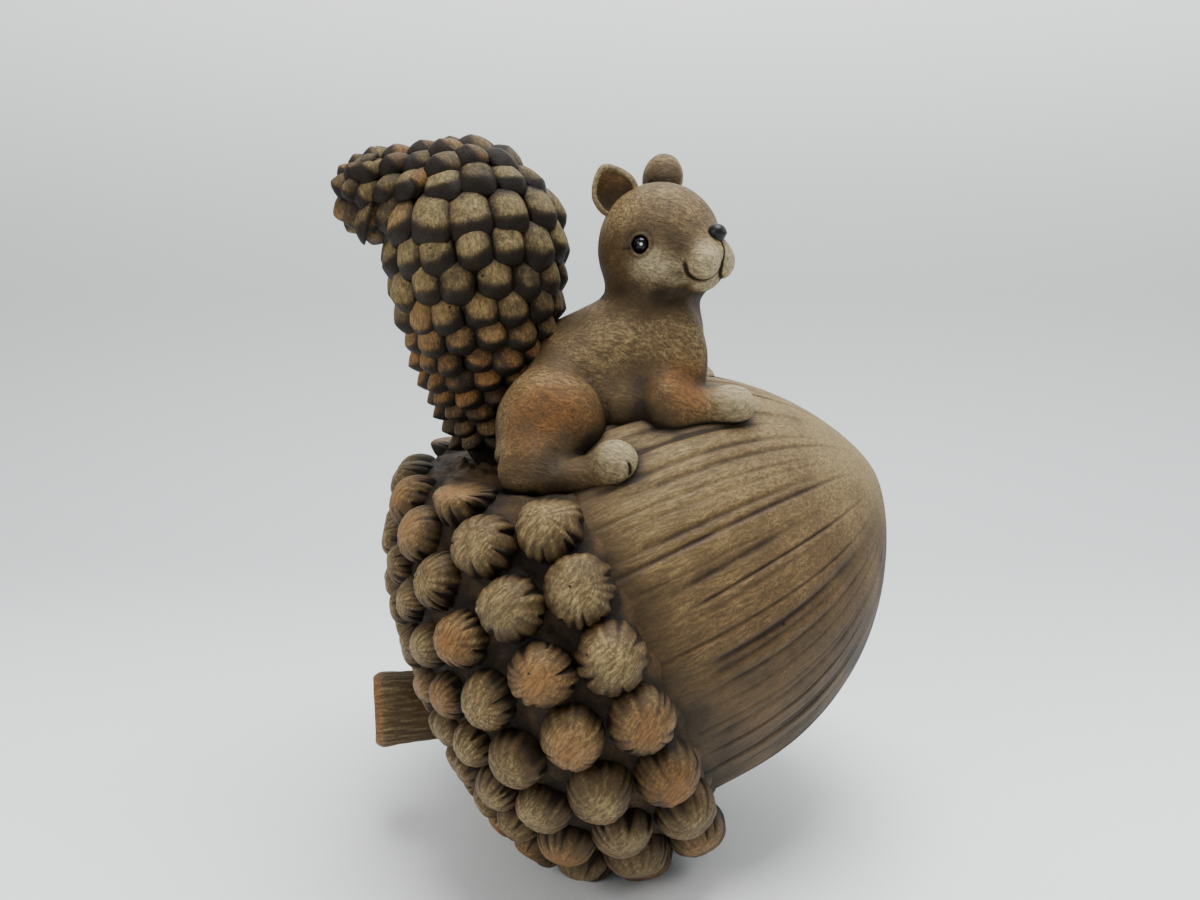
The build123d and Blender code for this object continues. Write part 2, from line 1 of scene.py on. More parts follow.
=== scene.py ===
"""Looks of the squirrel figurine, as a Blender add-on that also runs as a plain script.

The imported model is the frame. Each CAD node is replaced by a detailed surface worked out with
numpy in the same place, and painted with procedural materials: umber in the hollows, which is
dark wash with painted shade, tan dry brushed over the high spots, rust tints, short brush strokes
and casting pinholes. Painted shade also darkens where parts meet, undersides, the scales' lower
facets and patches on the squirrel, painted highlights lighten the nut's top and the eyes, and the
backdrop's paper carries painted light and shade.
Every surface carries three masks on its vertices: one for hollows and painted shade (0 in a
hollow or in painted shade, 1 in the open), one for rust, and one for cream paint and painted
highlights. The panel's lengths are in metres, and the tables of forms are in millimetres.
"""

import bpy
import numpy as np
from bpy.props import FloatProperty, FloatVectorProperty, IntProperty, PointerProperty
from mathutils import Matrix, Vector


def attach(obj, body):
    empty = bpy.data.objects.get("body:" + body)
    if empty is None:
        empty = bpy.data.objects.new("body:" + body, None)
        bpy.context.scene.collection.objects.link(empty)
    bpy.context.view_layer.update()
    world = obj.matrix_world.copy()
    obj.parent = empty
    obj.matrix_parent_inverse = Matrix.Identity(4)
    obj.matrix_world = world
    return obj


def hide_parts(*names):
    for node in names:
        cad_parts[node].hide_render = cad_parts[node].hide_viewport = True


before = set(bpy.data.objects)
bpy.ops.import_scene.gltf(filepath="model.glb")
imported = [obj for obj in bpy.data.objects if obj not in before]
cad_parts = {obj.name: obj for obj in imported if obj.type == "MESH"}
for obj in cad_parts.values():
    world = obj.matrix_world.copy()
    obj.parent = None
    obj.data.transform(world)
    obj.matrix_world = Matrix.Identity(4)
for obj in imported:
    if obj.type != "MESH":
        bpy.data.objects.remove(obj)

bl_info = {
    "name": "Squirrel Figurine",
    "version": (1, 0, 0),
    "blender": (4, 5, 0),
    "location": "3D View > Sidebar > Figurine",
    "description": "Builds the looks of a squirrel with a pine cone tail on a large acorn",
    "category": "Add Mesh",
}

MM = 0.001
BODY = "root"
UP = np.array([0.0, 0.0, 1.0])
SIDES = ((1, "right"), (-1, "left"))
MASKS = ("relief", "rust", "pale")
# Primes that scatter the cells of the noise
CELL_PRIMES = np.array([73856093, 19349663, 83492791])

# Node names, as the frame has them
KNOB_ROWS = sorted(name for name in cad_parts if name.startswith("cup_knobs"))
SCALE_ROWS = sorted(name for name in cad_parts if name.startswith("tail_scales"))
TIP_ROWS = sorted(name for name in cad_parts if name.startswith("tail_tip"))

# Powers of the nut's profile: how full it stays along the way, and how blunt its tip is
NUT_FULLNESS = 2.41
NUT_BLUNTNESS = 0.71
# Power of the cup's superellipse
CUP_POWER = 2.6

# Knobs on the cup, row by row from the lip to the stem, in millimetres and degrees
KNOB_COUNTS = (25, 25, 24, 24, 21, 18, 12)
KNOB_DEPTHS = (0.0, 29.7, 54.8, 71.0, 81.0, 87.0, 90.5)
KNOB_RADII = (14.6, 14.0, 12.4, 10.4, 9.2, 8.0, 7.3)
KNOB_PHASES = (139.2, 135.8, 149.0, 143.0, 150.0, 146.0, 150.0)
# Depth in the knob table at which the cup closes
CUP_SPAN = 92 * MM
# Depth behind the rim at which the stem's axis begins
STEM_DEPTH = 87.5 * MM

# The tail's core: shares of its height and of its widest radius
TAIL_RISES = (0.0, 0.13, 0.28, 0.43, 0.57, 0.70, 0.82, 0.92, 0.98, 1.0)
TAIL_RADII = (0.26, 0.50, 0.71, 0.85, 0.96, 1.0, 0.90, 0.64, 0.34, 0.0)

# Rings of scales up the tail: rise from its foot in millimetres, and how many go round
SCALE_RISES = (16.0, 23.5, 31.0, 39.0, 47.0, 56.0, 66.0, 77.5, 91.0, 105.5, 120.0, 133.5, 144.5)
SCALE_COUNTS = (9, 10, 11, 12, 13, 14, 14, 15, 15, 15, 13, 12, 8)
# Rings about the curled tip's axis, for each node: reach from the tip's middle in millimetres, how
# many, where the ring begins as a share of a step, and how long its scales are as a share
TIP_RINGS = {
    SCALE_ROWS[-1]: ((-44.0, 10, 0.0, 0.9), (-32.0, 12, 0.5, 1.0), (-20.0, 12, 0.0, 1.0)),
    TIP_ROWS[0]: ((-8.0, 12, 0.5, 1.0), (3.5, 11, 0.0, 1.0)),
    TIP_ROWS[1]: ((13.5, 10, 0.5, 0.9),),
    TIP_ROWS[2]: ((21.5, 8, 0.0, 0.75), (27.0, 5, 0.5, 0.6)),
}

# Squirrel's trunk: middle ahead and height, then half length, half width and half height
TRUNK = {
    "rump": (-21.0, 212.0, 28.0, 33.0, 27.0),
    "loin": (-8.0, 236.5, 28.0, 31.0, 28.0),
    "back": (12.0, 248.0, 26.0, 29.0, 26.0),
    "belly": (14.0, 225.0, 35.0, 36.0, 24.0),
    "chest": (31.0, 252.0, 23.0, 26.0, 28.0),
    "neck": (29.0, 274.0, 20.5, 20.5, 24.0),
}
# Right side limbs: ahead, out from the body's middle and height, the way along, three half
# widths, how much higher and further ahead the left twin is, and how softly it melts into others
LIMBS = {
    "haunch": ((-18.0, 34.5, 219.0), (0.25, 0.0, 1.0), (25.5, 18.0, 24.5), (10.0, 0.0), 0.8),
    "hock": ((-25.0, 45.0, 205.0), (1.0, 0.0, 0.15), (18.0, 14.0, 13.0), (16.0, 0.0), 8.0),
    "sole": ((-11.0, 54.0, 199.0), (1.0, 0.0, 0.14), (27.0, 9.5, 8.5), (21.0, 0.0), 1.0),
    "toes": ((10.0, 54.5, 205.0), (1.0, 0.0, 0.5), (11.0, 10.5, 10.5), (21.0, 0.0), 4.0),
    "shoulder": ((39.0, 20.0, 247.0), (0.1, 0.0, -1.0), (24.0, 11.5, 14.5), (0.0, 0.0), 9.0),
    "elbow": ((35.0, 31.0, 226.0), (0.2, 0.1, -1.0), (15.5, 11.5, 12.0), (4.0, 0.0), 7.0),
    "forearm": ((49.0, 30.0, 225.0), (1.0, 0.12, 0.12), (21.0, 9.0, 9.0), (6.0, -8.0), 7.0),
    "paw": ((63.5, 28.0, 226.5), (1.0, 0.1, 0.05), (11.5, 10.0, 9.4), (3.0, -13.0), 5.0),
}
# Painted shade on the body: ahead, out from its middle, height, spread and strength
BODY_SHADES = (
    (24.0, 34.0, 222.0, 13.0, 0.75), (10.0, 38.0, 214.0, 13.0, 0.7), (40.0, 10.0, 272.0, 11.0, 0.5),
    (-32.0, 8.0, 242.0, 17.0, 0.65), (-12.0, 6.0, 268.0, 12.0, 0.35), (27.0, 24.0, 240.0, 8.0, 0.5),
    (-44.0, 30.0, 214.0, 13.0, 0.5), (-12.0, 60.0, 193.0, 12.0, 0.4), (52.0, 10.0, 246.0, 10.0, 0.45),
    (-14.0, 50.0, 214.0, 20.0, 0.35), (-20.0, 60.0, 200.0, 14.0, 0.4), (0.0, 50.0, 212.0, 7.0, 0.5),
)
# Painted shade on the head: ahead, out and up from its middle, spread and strength
HEAD_SHADES = (
    (13.0, 25.0, 1.0, 8.5, 0.3), (23.0, 17.0, -1.0, 7.5, 0.45), (3.0, 24.0, -3.0, 8.0, 0.4),
    (-4.0, 22.0, -20.0, 11.0, 0.6), (14.0, 16.0, -26.0, 11.0, 0.65), (-20.0, 14.0, -8.0, 13.0, 0.4),
)
# Cream on the pads, the chin and the cheeks: as the painted shade on the head
CREAM_ON_HEAD = (
    (37.0, 6.5, -8.5, 9.5, 1.0), (30.0, 0.0, -19.0, 9.0, 0.7),
    (17.0, 24.0, -13.0, 11.0, 0.85), (26.0, 16.0, -14.0, 8.5, 0.75),
)
# Spread of the cream on the feet
CREAM_ON_LIMBS = {"toes": 13.0, "paw": 14.0}
# Rust: limb form, ahead, out and up from its middle, spread and strength
RUST_ON_LIMBS = (("haunch", (1.0, 14.0, 4.0), 19.0, 0.9), ("shoulder", (3.0, 12.0, -13.0), 13.0, 0.85))
# Pieces of each limb: slot, then the forms that rays leave from, how far, and about which axis
LIMB_PIECES = {
    "haunch": ("fur", (("haunch", 30.0, (0, -1, 0)),)),
    "hind_foot": ("fur", (("sole", 30.0, (1, 0, 0)), ("toes", 14.0, (1, 0, 0)))),
    "foreleg": (
        "fur",
        (("shoulder", 24.0, (0, 0, 1)), ("elbow", 18.0, (0, 0, 1)), ("forearm", 26.0, (1, 0, 0))),
    ),
    "forepaw": ("paw", (("paw", 14.0, (1, 0, 0)),)),
}
# Head: ahead, out and up from its middle, three half widths, and softness
HEAD = {
    "skull": ((0.0, 0.0, 0.0), (28.5, 27.5, 27.0), 4.0),
    "occiput": ((-8.0, 0.0, -8.0), (20.0, 22.0, 22.0), 8.0),
    "jowl_right": ((8.0, 12.0, -11.0), (17.0, 13.5, 13.0), 8.0),
    "jowl_left": ((8.0, -12.0, -11.0), (17.0, 13.5, 13.0), 8.0),
    "snout": ((22.0, 0.0, -5.0), (16.5, 12.5, 10.5), 9.0),
    "chin": ((25.0, 0.0, -15.5), (8.5, 9.5, 7.0), 4.0),
    "pad_right": ((30.5, 6.6, -8.6), (8.6, 8.8, 8.9), 2.2),
    "pad_left": ((29.6, -5.8, -8.6), (8.4, 8.2, 8.9), 2.2),
}


def size(default, words, kind="LENGTH"):
    """A length, or an angle, for the panel, named by the words up to their first comma."""
    subtype = "DISTANCE" if kind == "LENGTH" else "ANGLE"
    name = words.split(",")[0].capitalize()
    return FloatProperty(name=name, description=words, default=default, unit=kind, subtype=subtype)


def place_of(name, words, point):
    """A place for the panel, from a point in millimetres."""
    start = tuple(value * MM for value in point)
    return FloatVectorProperty(name=name, description=words, default=start, unit="LENGTH")


class AcornSizes(bpy.types.PropertyGroup):
    """Sizes of the acorn's nut, cup, saddle and stem."""

    rim_height: size(114.5 * MM, "Rim height, of the cup's rim centre above the floor")
    rise: size(np.radians(24.0), "Rise, of the acorn's axis towards the tip", "ROTATION")
    turn: size(np.radians(9.2), "Turn, of the tip to the squirrel's left", "ROTATION")
    nut_radius: size(105.5 * MM, "Nut radius")
    nut_collar: size(20 * MM, "Collar, the straight length before the nut closes")
    nut_length: size(144 * MM, "Nut length, from the collar to the tip")
    groove_depth: size(1.5 * MM, "Groove depth")
    cup_radius: size(112 * MM, "Cup radius")
    cup_depth: size(82.5 * MM, "Cup depth")
    cup_droop: size(12 * MM, "Droop, of the cup's bottom below the axis")
    saddle_height: size(192 * MM, "Saddle height, of the flat that carries the squirrel")
    stem_radius: size(17 * MM, "Stem radius")
    stem_length: size(37 * MM, "Stem length")
    stem_turn: size(np.radians(13.0), "Stem turn, from straight back", "ROTATION")
    grooves: IntProperty(name="Grooves", description="Grooves round the nut", default=84)


class TailSizes(bpy.types.PropertyGroup):
    """Sizes of the tail and its curled tip."""

    foot: place_of("Foot", "Foot of the tail on the saddle", (-46, -8, 192))
    lean: size(np.radians(5.0), "Lean, of the tail backwards", "ROTATION")
    height: size(152 * MM, "Height, along the tail")
    radius: size(38.5 * MM, "Radius, at the widest")
    tip: place_of("Tip", "Middle of the curled tip", (-86, -8, 320))
    tip_length: size(62 * MM, "Tip length")
    tip_width: size(37 * MM, "Tip width")
    tip_lift: size(np.radians(6.0), "Tip lift, above level", "ROTATION")
    scale_stand: size(6.5 * MM, "Scale height, at its proud lower edge")


class SquirrelSizes(bpy.types.PropertyGroup):
    """Sizes of the squirrel, its head, ears, eyes and nose."""

    middle: size(-10 * MM, "Middle plane, of the body to the squirrel's left")
    head: place_of("Head", "Middle of the head", (32, -11, 300))
    head_turn: size(np.radians(45.0), "Head turn, to the squirrel's right", "ROTATION")
    eye_radius: size(3.5 * MM, "Eye radius")
    nose_radius: size(4.3 * MM, "Nose radius")
    ear_height: size(27 * MM, "Ear height")
    ear_width: size(22 * MM, "Ear width")


class StageSettings(bpy.types.PropertyGroup):
    """Where the camera stands and what it looks at."""

    look_at: place_of("Look at", "Point that the camera looks at", (4, 0, 198))
    distance: size(500 * MM, "Camera distance")
    elevation: size(np.radians(11.5), "Camera elevation", "ROTATION")
    lens: FloatProperty(
        name="Lens", description="Focal length in millimetres on a 36 mm sensor", default=30.0
    )


class FigurineSettings(bpy.types.PropertyGroup):
    """All the groups of sizes."""

    acorn: PointerProperty(type=AcornSizes, name="Acorn", description="Sizes of the acorn")
    tail: PointerProperty(type=TailSizes, name="Tail", description="Sizes of the tail")
    squirrel: PointerProperty(type=SquirrelSizes, name="Squirrel", description="Sizes of the squirrel")
    stage: PointerProperty(type=StageSettings, name="Stage", description="Camera and backdrop")


# Numbers and noise


def unit(vector):
    """Directions scaled to a length of 1."""
    vector = np.asarray(vector, float)
    return vector / np.linalg.norm(vector, axis=-1, keepdims=True)


def ring_grid(along, columns):
    """A grid of the given steps along a piece and of equal angles round it."""
    angle = np.linspace(0, 2 * np.pi, columns, endpoint=False)
    return np.meshgrid(along, angle, indexing="ij")


def ways_round(angle, first, second):
    """Directions round a ring: the first one at angle 0 and the second at a quarter turn."""
    return first * np.cos(angle)[..., None] + second * np.sin(angle)[..., None]


def turn_between(angle, place):
    """The shortest turn from a place to an angle, from minus half a turn to half a turn."""
    return (angle - place + np.pi) % (2 * np.pi) - np.pi


def fade(value, start, rise, end, fall):
    """1 between a start and an end, easing in after the start and out before the end."""
    return np.clip((value - start) / rise, 0, 1) * np.clip((end - value) / fall, 0, 1)


def line_at(distance, width):
    """A soft line: 1 where the distance is 0, gone at about twice the width."""
    return np.exp(-((distance / width) ** 2))


def patch_at(points, place, spread, power):
    """A soft round patch: 1 at its place, gone past its spread in millimetres."""
    return np.exp(-((np.linalg.norm(points - place, axis=-1) / (spread * MM)) ** power))


def detail(full):
    return full


def chance(cells, seed):
    """Numbers from 0 to 1 that look random, one for each whole-number cell."""
    x, y, z = np.moveaxis(np.asarray(cells).astype(np.int64) * CELL_PRIMES, -1, 0)
    mixed = x ^ y ^ z ^ (seed * 7919 + 17)
    mixed = (mixed ^ (mixed >> 13)) * 1274126177 & 0x7FFFFFFF
    return ((mixed ^ (mixed >> 16)) & 0xFFFF) / 0xFFFF


def soft_noise(points, grain, seed=0):
    """Smooth noise from -1 to 1: corner values of a cubic lattice of that grain, eased between."""
    scaled = points / grain + seed * 3.7
    cell = np.floor(scaled)
    part = scaled - cell
    ease = part * part * (3 - 2 * part)
    total = np.zeros(points.shape[:-1])
    for corner in np.ndindex(2, 2, 2):
        share = np.prod(np.where(np.array(corner) == 1, ease, 1 - ease), axis=-1)
        total += share * chance(cell + np.array(corner), seed)
    return total * 2 - 1


def rough_noise(points, grain, seed=0):
    """Three layers of soft noise, each half as large and half as strong as the one before."""
    return sum(soft_noise(points, grain / 2**layer, seed + layer) / 2**layer for layer in range(3)) / 1.75


# Surfaces into meshes


def close_rings(values, copies):
    """Values on a stack of rings, flattened, with each copy's two poles as means of its end rings."""
    flat = values.reshape(copies, -1, *values.shape[3:])
    first = values[:, 0].mean(axis=1)[:, None]
    last = values[:, -1].mean(axis=1)[:, None]
    return np.concatenate([flat, first, last], axis=1)


def ring_faces(rows, columns):
    """Quads between rings that close on themselves, and a fan of triangles at each pole."""
    row, column = np.meshgrid(np.arange(rows - 1), np.arange(columns), indexing="ij")
    after = (column + 1) % columns
    low, high = row * columns, (row + 1) * columns
    quads = np.stack([low + column, low + after, high + after, high + column], -1).reshape(-1, 4)
    fan = np.arange(columns)
    step = (fan + 1) % columns
    last = (rows - 1) * columns
    pole = np.full(columns, rows * columns)
    first_fan = np.stack([pole, step, fan], -1)
    last_fan = np.stack([pole + 1, last + fan, last + step], -1)
    return quads, np.concatenate([first_fan, last_fan])


def smooth_mesh(name, vertices, faces):
    """A smooth mesh from an array of vertices and a list of faces."""
    mesh = bpy.data.meshes.new(name)
    mesh.from_pydata(vertices.reshape(-1, 3).tolist(), [], faces)
    mesh.polygons.foreach_set("use_smooth", np.ones(len(faces), bool))
    return mesh


def in_scene(name, data):
    """A new object in the scene, from a mesh, a light or a camera."""
    made = bpy.data.objects.new(name, data)
    bpy.context.scene.collection.objects.link(made)
    return made


def build_surface(name, node, slot, points, paint=None, **masks):
    """Makes one object, in place of a node, from copies of a stack of rings: points has the shape
    copies, rows, columns, 3. A mask that isn't given is 0, and the paint is the slot's own."""
    copies, rows, columns, _ = points.shape
    vertices = close_rings(points, copies)
    quads, fans = ring_faces(rows, columns)
    middle = vertices[0].mean(axis=0)
    a, b, c = (vertices[0][quads[:, k]] - middle for k in (0, 1, 2))
    inward = np.einsum("ij,ij->i", a, np.cross(b, c)).sum() < 0
    if inward:
        quads, fans = quads[:, ::-1], fans[:, ::-1]
    jumps = (np.arange(copies) * (rows * columns + 2))[:, None, None]
    faces = (quads + jumps).reshape(-1, 4).tolist() + (fans + jumps).reshape(-1, 3).tolist()
    mesh = smooth_mesh(name, vertices, faces)
    for mask in MASKS:
        spread = np.broadcast_to(np.asarray(masks.get(mask, 0.0), float), points.shape[:-1])
        values = np.clip(close_rings(spread, copies), 0, 1).ravel().astype(np.float32)
        layer = mesh.attributes.new(mask, "FLOAT", "POINT")
        layer.data.foreach_set("value", values)
    mesh.materials.append(material_of(paint or slot))
    mesh.update()
    piece = in_scene(name, mesh)
    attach(piece, BODY)
    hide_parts(node)


def normals_of(points):
    """Outward unit normals of a stack of rings, from the steps between its rows and columns."""
    along = np.gradient(points, axis=1)
    around = np.roll(points, -1, axis=2) - np.roll(points, 1, axis=2)
    normal = np.cross(around, along)
    normal /= np.maximum(np.linalg.norm(normal, axis=-1, keepdims=True), 1e-12)
    out = points - points.mean(axis=(1, 2), keepdims=True)
    facing = np.sign((normal * out).sum(-1).sum(axis=(1, 2)))[:, None, None, None]
    return normal * facing


def roughened(points, grain, height, seed):
    """The points moved along their normals by rough noise of that grain and height."""
    return points + normals_of(points) * (rough_noise(points, grain, seed) * height)[..., None]


# The acorn


def acorn_frame(sizes):
    """The acorn's rim centre, axis towards the tip, sideways direction, and the upward one across."""
    flat = np.array([np.cos(sizes.turn), np.sin(sizes.turn), 0])
    axis = flat * np.cos(sizes.rise) + UP * np.sin(sizes.rise)
    side = np.array([-np.sin(sizes.turn), np.cos(sizes.turn), 0])
    return UP * sizes.rim_height, axis, side, np.cross(axis, side)


def nut_radius_at(reach, sizes):
    """The nut's radius along its axis: straight, then a quarter of a superellipse."""
    share = np.clip((reach - sizes.nut_collar) / sizes.nut_length, 0, 1)
    return sizes.nut_radius * (1 - share**NUT_FULLNESS) ** NUT_BLUNTNESS


def make_nut(sizes):
    """The nut: rings about its axis whose radius follows a superellipse, less narrow grooves that
    start and end along the way, less broad shallow flutes, with low humps between them."""
    centre, axis, side, across = acorn_frame(sizes)
    spigot, closing = 8 * MM, 0.02 * MM
    hump_grain, hump_height = 26 * MM, 0.5 * MM
    flute_count, flute_depth = 24, 0.9 * MM
    rows, columns = detail(105), detail(900)
    lean = np.linspace(0, np.pi / 2, rows)
    reach = -spigot + (sizes.nut_collar + sizes.nut_length + spigot) * np.sin(lean) ** 1.1
    reach[-1] -= closing
    reach, angle = ring_grid(reach, columns)
    radius = nut_radius_at(reach, sizes)
    slim = radius / sizes.nut_radius
    share = (reach - sizes.nut_collar / 2) / (sizes.nut_length + sizes.nut_collar / 2)
    cut = np.zeros_like(radius)
    random = np.random.default_rng(7)
    for index in range(sizes.grooves):
        wander = 0.012 * np.sin(share * random.uniform(2, 5) + random.uniform(0, 6))
        place = 2 * np.pi * (index + random.uniform(-0.33, 0.33)) / sizes.grooves + wander
        width = random.uniform(0.9, 2.0) * MM * (0.5 + 0.5 * slim)
        start, end = random.uniform(-0.05, 0.2), random.uniform(0.6, 0.97)
        across_groove = turn_between(angle, place) * radius / width
        valley = line_at(across_groove, 1) - 0.35 * line_at(across_groove, 2.6)
        deep = random.uniform(0.2, 1.0) * fade(share, start, 0.12, end, 0.25) * valley
        cut = np.where(np.abs(deep) > np.abs(cut), deep, cut)
    flutes = np.zeros_like(radius)
    flute_window = fade(share, 0.02, 0.2, 0.95, 0.3)
    for index in range(flute_count):
        place = 2 * np.pi * (index + random.uniform(-0.4, 0.4)) / flute_count
        spread = random.uniform(3.5, 7.0) * MM * (0.4 + 0.6 * slim)
        deep = random.uniform(0.4, 1.0) * flute_window
        flutes += deep * line_at(turn_between(angle, place) * radius, spread)
    ways = ways_round(angle, side, across)
    smooth = centre + axis * reach[..., None] + ways * radius[..., None]
    hump = rough_noise(smooth, hump_grain, 3) * hump_height * np.clip(slim, 0, 1)
    points = smooth + ways * (hump - cut * sizes.groove_depth - flutes * flute_depth)[..., None]
    near_cup = np.clip((reach - 16 * MM) / (16 * MM), 0, 1)
    tip = np.clip((share - 0.62) / 0.38, 0, 1)
    # Darker in the grooves and flutes, and painted shade next to the cup, where the squirrel is near and
    # on the underside
    relief = 0.78 - 0.95 * np.clip(cut, 0, 1) + 0.3 * np.clip(-cut, 0, 1) - 0.3 * flutes
    relief *= 0.5 + 0.5 * near_cup
    relief *= contact_shade(smooth) * (1 - 0.7 * np.clip(0.2 - ways @ UP, 0, 1))
    # Painted highlight on the upward side near the cup, and paler towards the tip
    pale = 0.3 * tip + 0.35 * np.clip(ways @ UP, 0, 1) * near_cup
    masks = {"relief": relief[None], "pale": pale[None], "rust": 0.15}
    build_surface("nut", "nut_shell", "nut", points[None], **masks)


def cup_point(depth, angle, sizes):
    """A point of the cup's outside, and its outward direction, at a depth behind the rim and an
    angle round the axis. The cup is a superellipse whose bottom droops below the axis."""
    centre, axis, side, across = acorn_frame(sizes)
    share = np.clip(depth / CUP_SPAN, 0, 0.9999)
    out_share = (1 - share**CUP_POWER) ** (1 / CUP_POWER)
    reach = sizes.cup_depth * share
    radius = sizes.cup_radius * out_share
    droop = sizes.cup_droop * share**2
    way = ways_round(angle, side, across)
    spot = centre + way * radius[..., None] - across * droop[..., None] - axis * reach[..., None]
    steep = out_share ** (CUP_POWER - 1) / sizes.cup_radius
    flat = share ** (CUP_POWER - 1) / sizes.cup_depth
    return spot, unit(way * steep[..., None] - axis * flat[..., None])


def make_cup(sizes):
    """The cup between its knobs: rings from the lip, which melts into the nut, to the bottom, cut
    flat at the floor and at the saddle. Its skin is rough and rises round each knob's foot, and
    the saddle has lumps that grow towards the tail's foot."""
    centre, axis, side, across = acorn_frame(sizes)
    lip_reach, lip_overlap, lip_waves = 14 * MM, 0.6 * MM, KNOB_COUNTS[0]
    web_rise, web_height, web_spread = 1.2 * MM, 3.4 * MM, 3.2 * MM
    crust_spread = 24 * MM
    rows, columns = detail(120), detail(300)
    lip, lip_angle = ring_grid(np.linspace(1, 0, rows // 5, endpoint=False), columns)
    way = ways_round(lip_angle, side, across)
    ragged = 1 + 0.16 * np.sin(lip_angle * lip_waves + 0.6)
    lip_radius = sizes.cup_radius - (sizes.cup_radius - sizes.nut_radius + lip_overlap) * lip**1.5
    front = centre + axis * (lip * ragged * lip_reach)[..., None] + way * lip_radius[..., None]
    lean = np.linspace(0, np.pi / 2, rows - rows // 5)
    depth, back_angle = ring_grid(CUP_SPAN * np.sin(lean), columns)
    back, _ = cup_point(depth, back_angle, sizes)
    points = roughened(np.concatenate([front, back])[None], 9 * MM, 0.7 * MM, 5)
    points[..., 2] = np.clip(points[..., 2], 0.0, sizes.saddle_height)
    near = knob_distance(points, sizes)
    fill = web_height * line_at(np.maximum(near, 0), web_spread)
    open_way = fade(points[..., 2], 0, 5 * MM, sizes.saddle_height, 6 * MM)
    points = points + normals_of(points) * ((fill + web_rise) * open_way)[..., None]
    level = points[..., 2] > sizes.saddle_height - 1 * MM
    foot = np.linalg.norm(points[..., :2] - np.array(settings().tail.foot)[:2], axis=-1)
    lumps = (2.4 + 4.5 * np.exp(-((foot / crust_spread) ** 4))) * MM
    points[..., 2] += level * np.clip(rough_noise(points, 7 * MM, 9) + 0.15, -0.1, 1) * lumps
    # Dark close to each knob's foot, as dark wash with painted shade, and painted shade where the
    # squirrel is near
    relief = 0.12 + 0.3 * np.clip(near / (7 * MM), 0, 1) + 0.16 * rough_noise(points, 6 * MM, 8)
    build_surface("cup", "cup_shell", "cup", points, relief=relief * contact_shade(points), rust=0.1)


def knob_spots(row, sizes):
    """Where the knobs of a ring stand: places on the cup, outward directions and one radius."""
    count, depth, radius = KNOB_COUNTS[row], KNOB_DEPTHS[row] * MM, KNOB_RADII[row] * MM
    angle = np.radians(KNOB_PHASES[row]) - 2 * np.pi * np.arange(count) / count
    spot, normal = cup_point(np.full(count, depth), angle, sizes)
    above_floor = spot[:, 2] > -0.4 * radius
    below_saddle = spot[:, 2] < sizes.saddle_height + 1 * MM
    keep = above_floor & below_saddle & clear_of_stem(spot, sizes)
    return spot[keep], normal[keep], radius


def knob_distance(points, sizes):
    """Distance from points to the nearest knob's ball."""
    nearest = np.full(points.shape[:-1], 1.0)
    for row in range(len(KNOB_COUNTS)):
        spot, normal, radius = knob_spots(row, sizes)
        for place in spot + normal * 4 * MM:
            nearest = np.minimum(nearest, np.linalg.norm(points - place, axis=-1) - radius)
    return nearest


def knob_grid(copies, seed, rows, columns):
    """The tilt and the angle over a knob's dome and, for each of several knobs, how deep its slits
    are there: wedges over the lower part of its edge that widen outwards."""
    random = np.random.default_rng(seed)
    tilt, angle = ring_grid(np.linspace(0.0, np.radians(118), rows + 1)[1:], columns)
    slit = np.zeros((copies, *tilt.shape))
    for copy in range(copies):
        count = random.integers(4, 9)
        middle, arc = random.normal(-2.3, 0.7), random.uniform(1.2, 2.5)
        for index in range(count):
            place = middle + arc * (2 * (index + 0.5 + random.uniform(-0.3, 0.3)) / count - 1)
            start = np.radians(random.uniform(26, 68))
            open_share = np.clip((tilt - start) / (np.pi / 2 - start), 0, 1.3)
            half_width = random.uniform(0.05, 0.2) * open_share + 0.03
            wedge = np.clip(1.1 - np.abs(turn_between(angle, place)) / half_width, 0, 1)
            wedge *= np.clip(open_share * 4, 0, 1) * random.uniform(0.6, 1.0)
            slit[copy] = np.maximum(slit[copy], wedge)
    return tilt, angle, slit


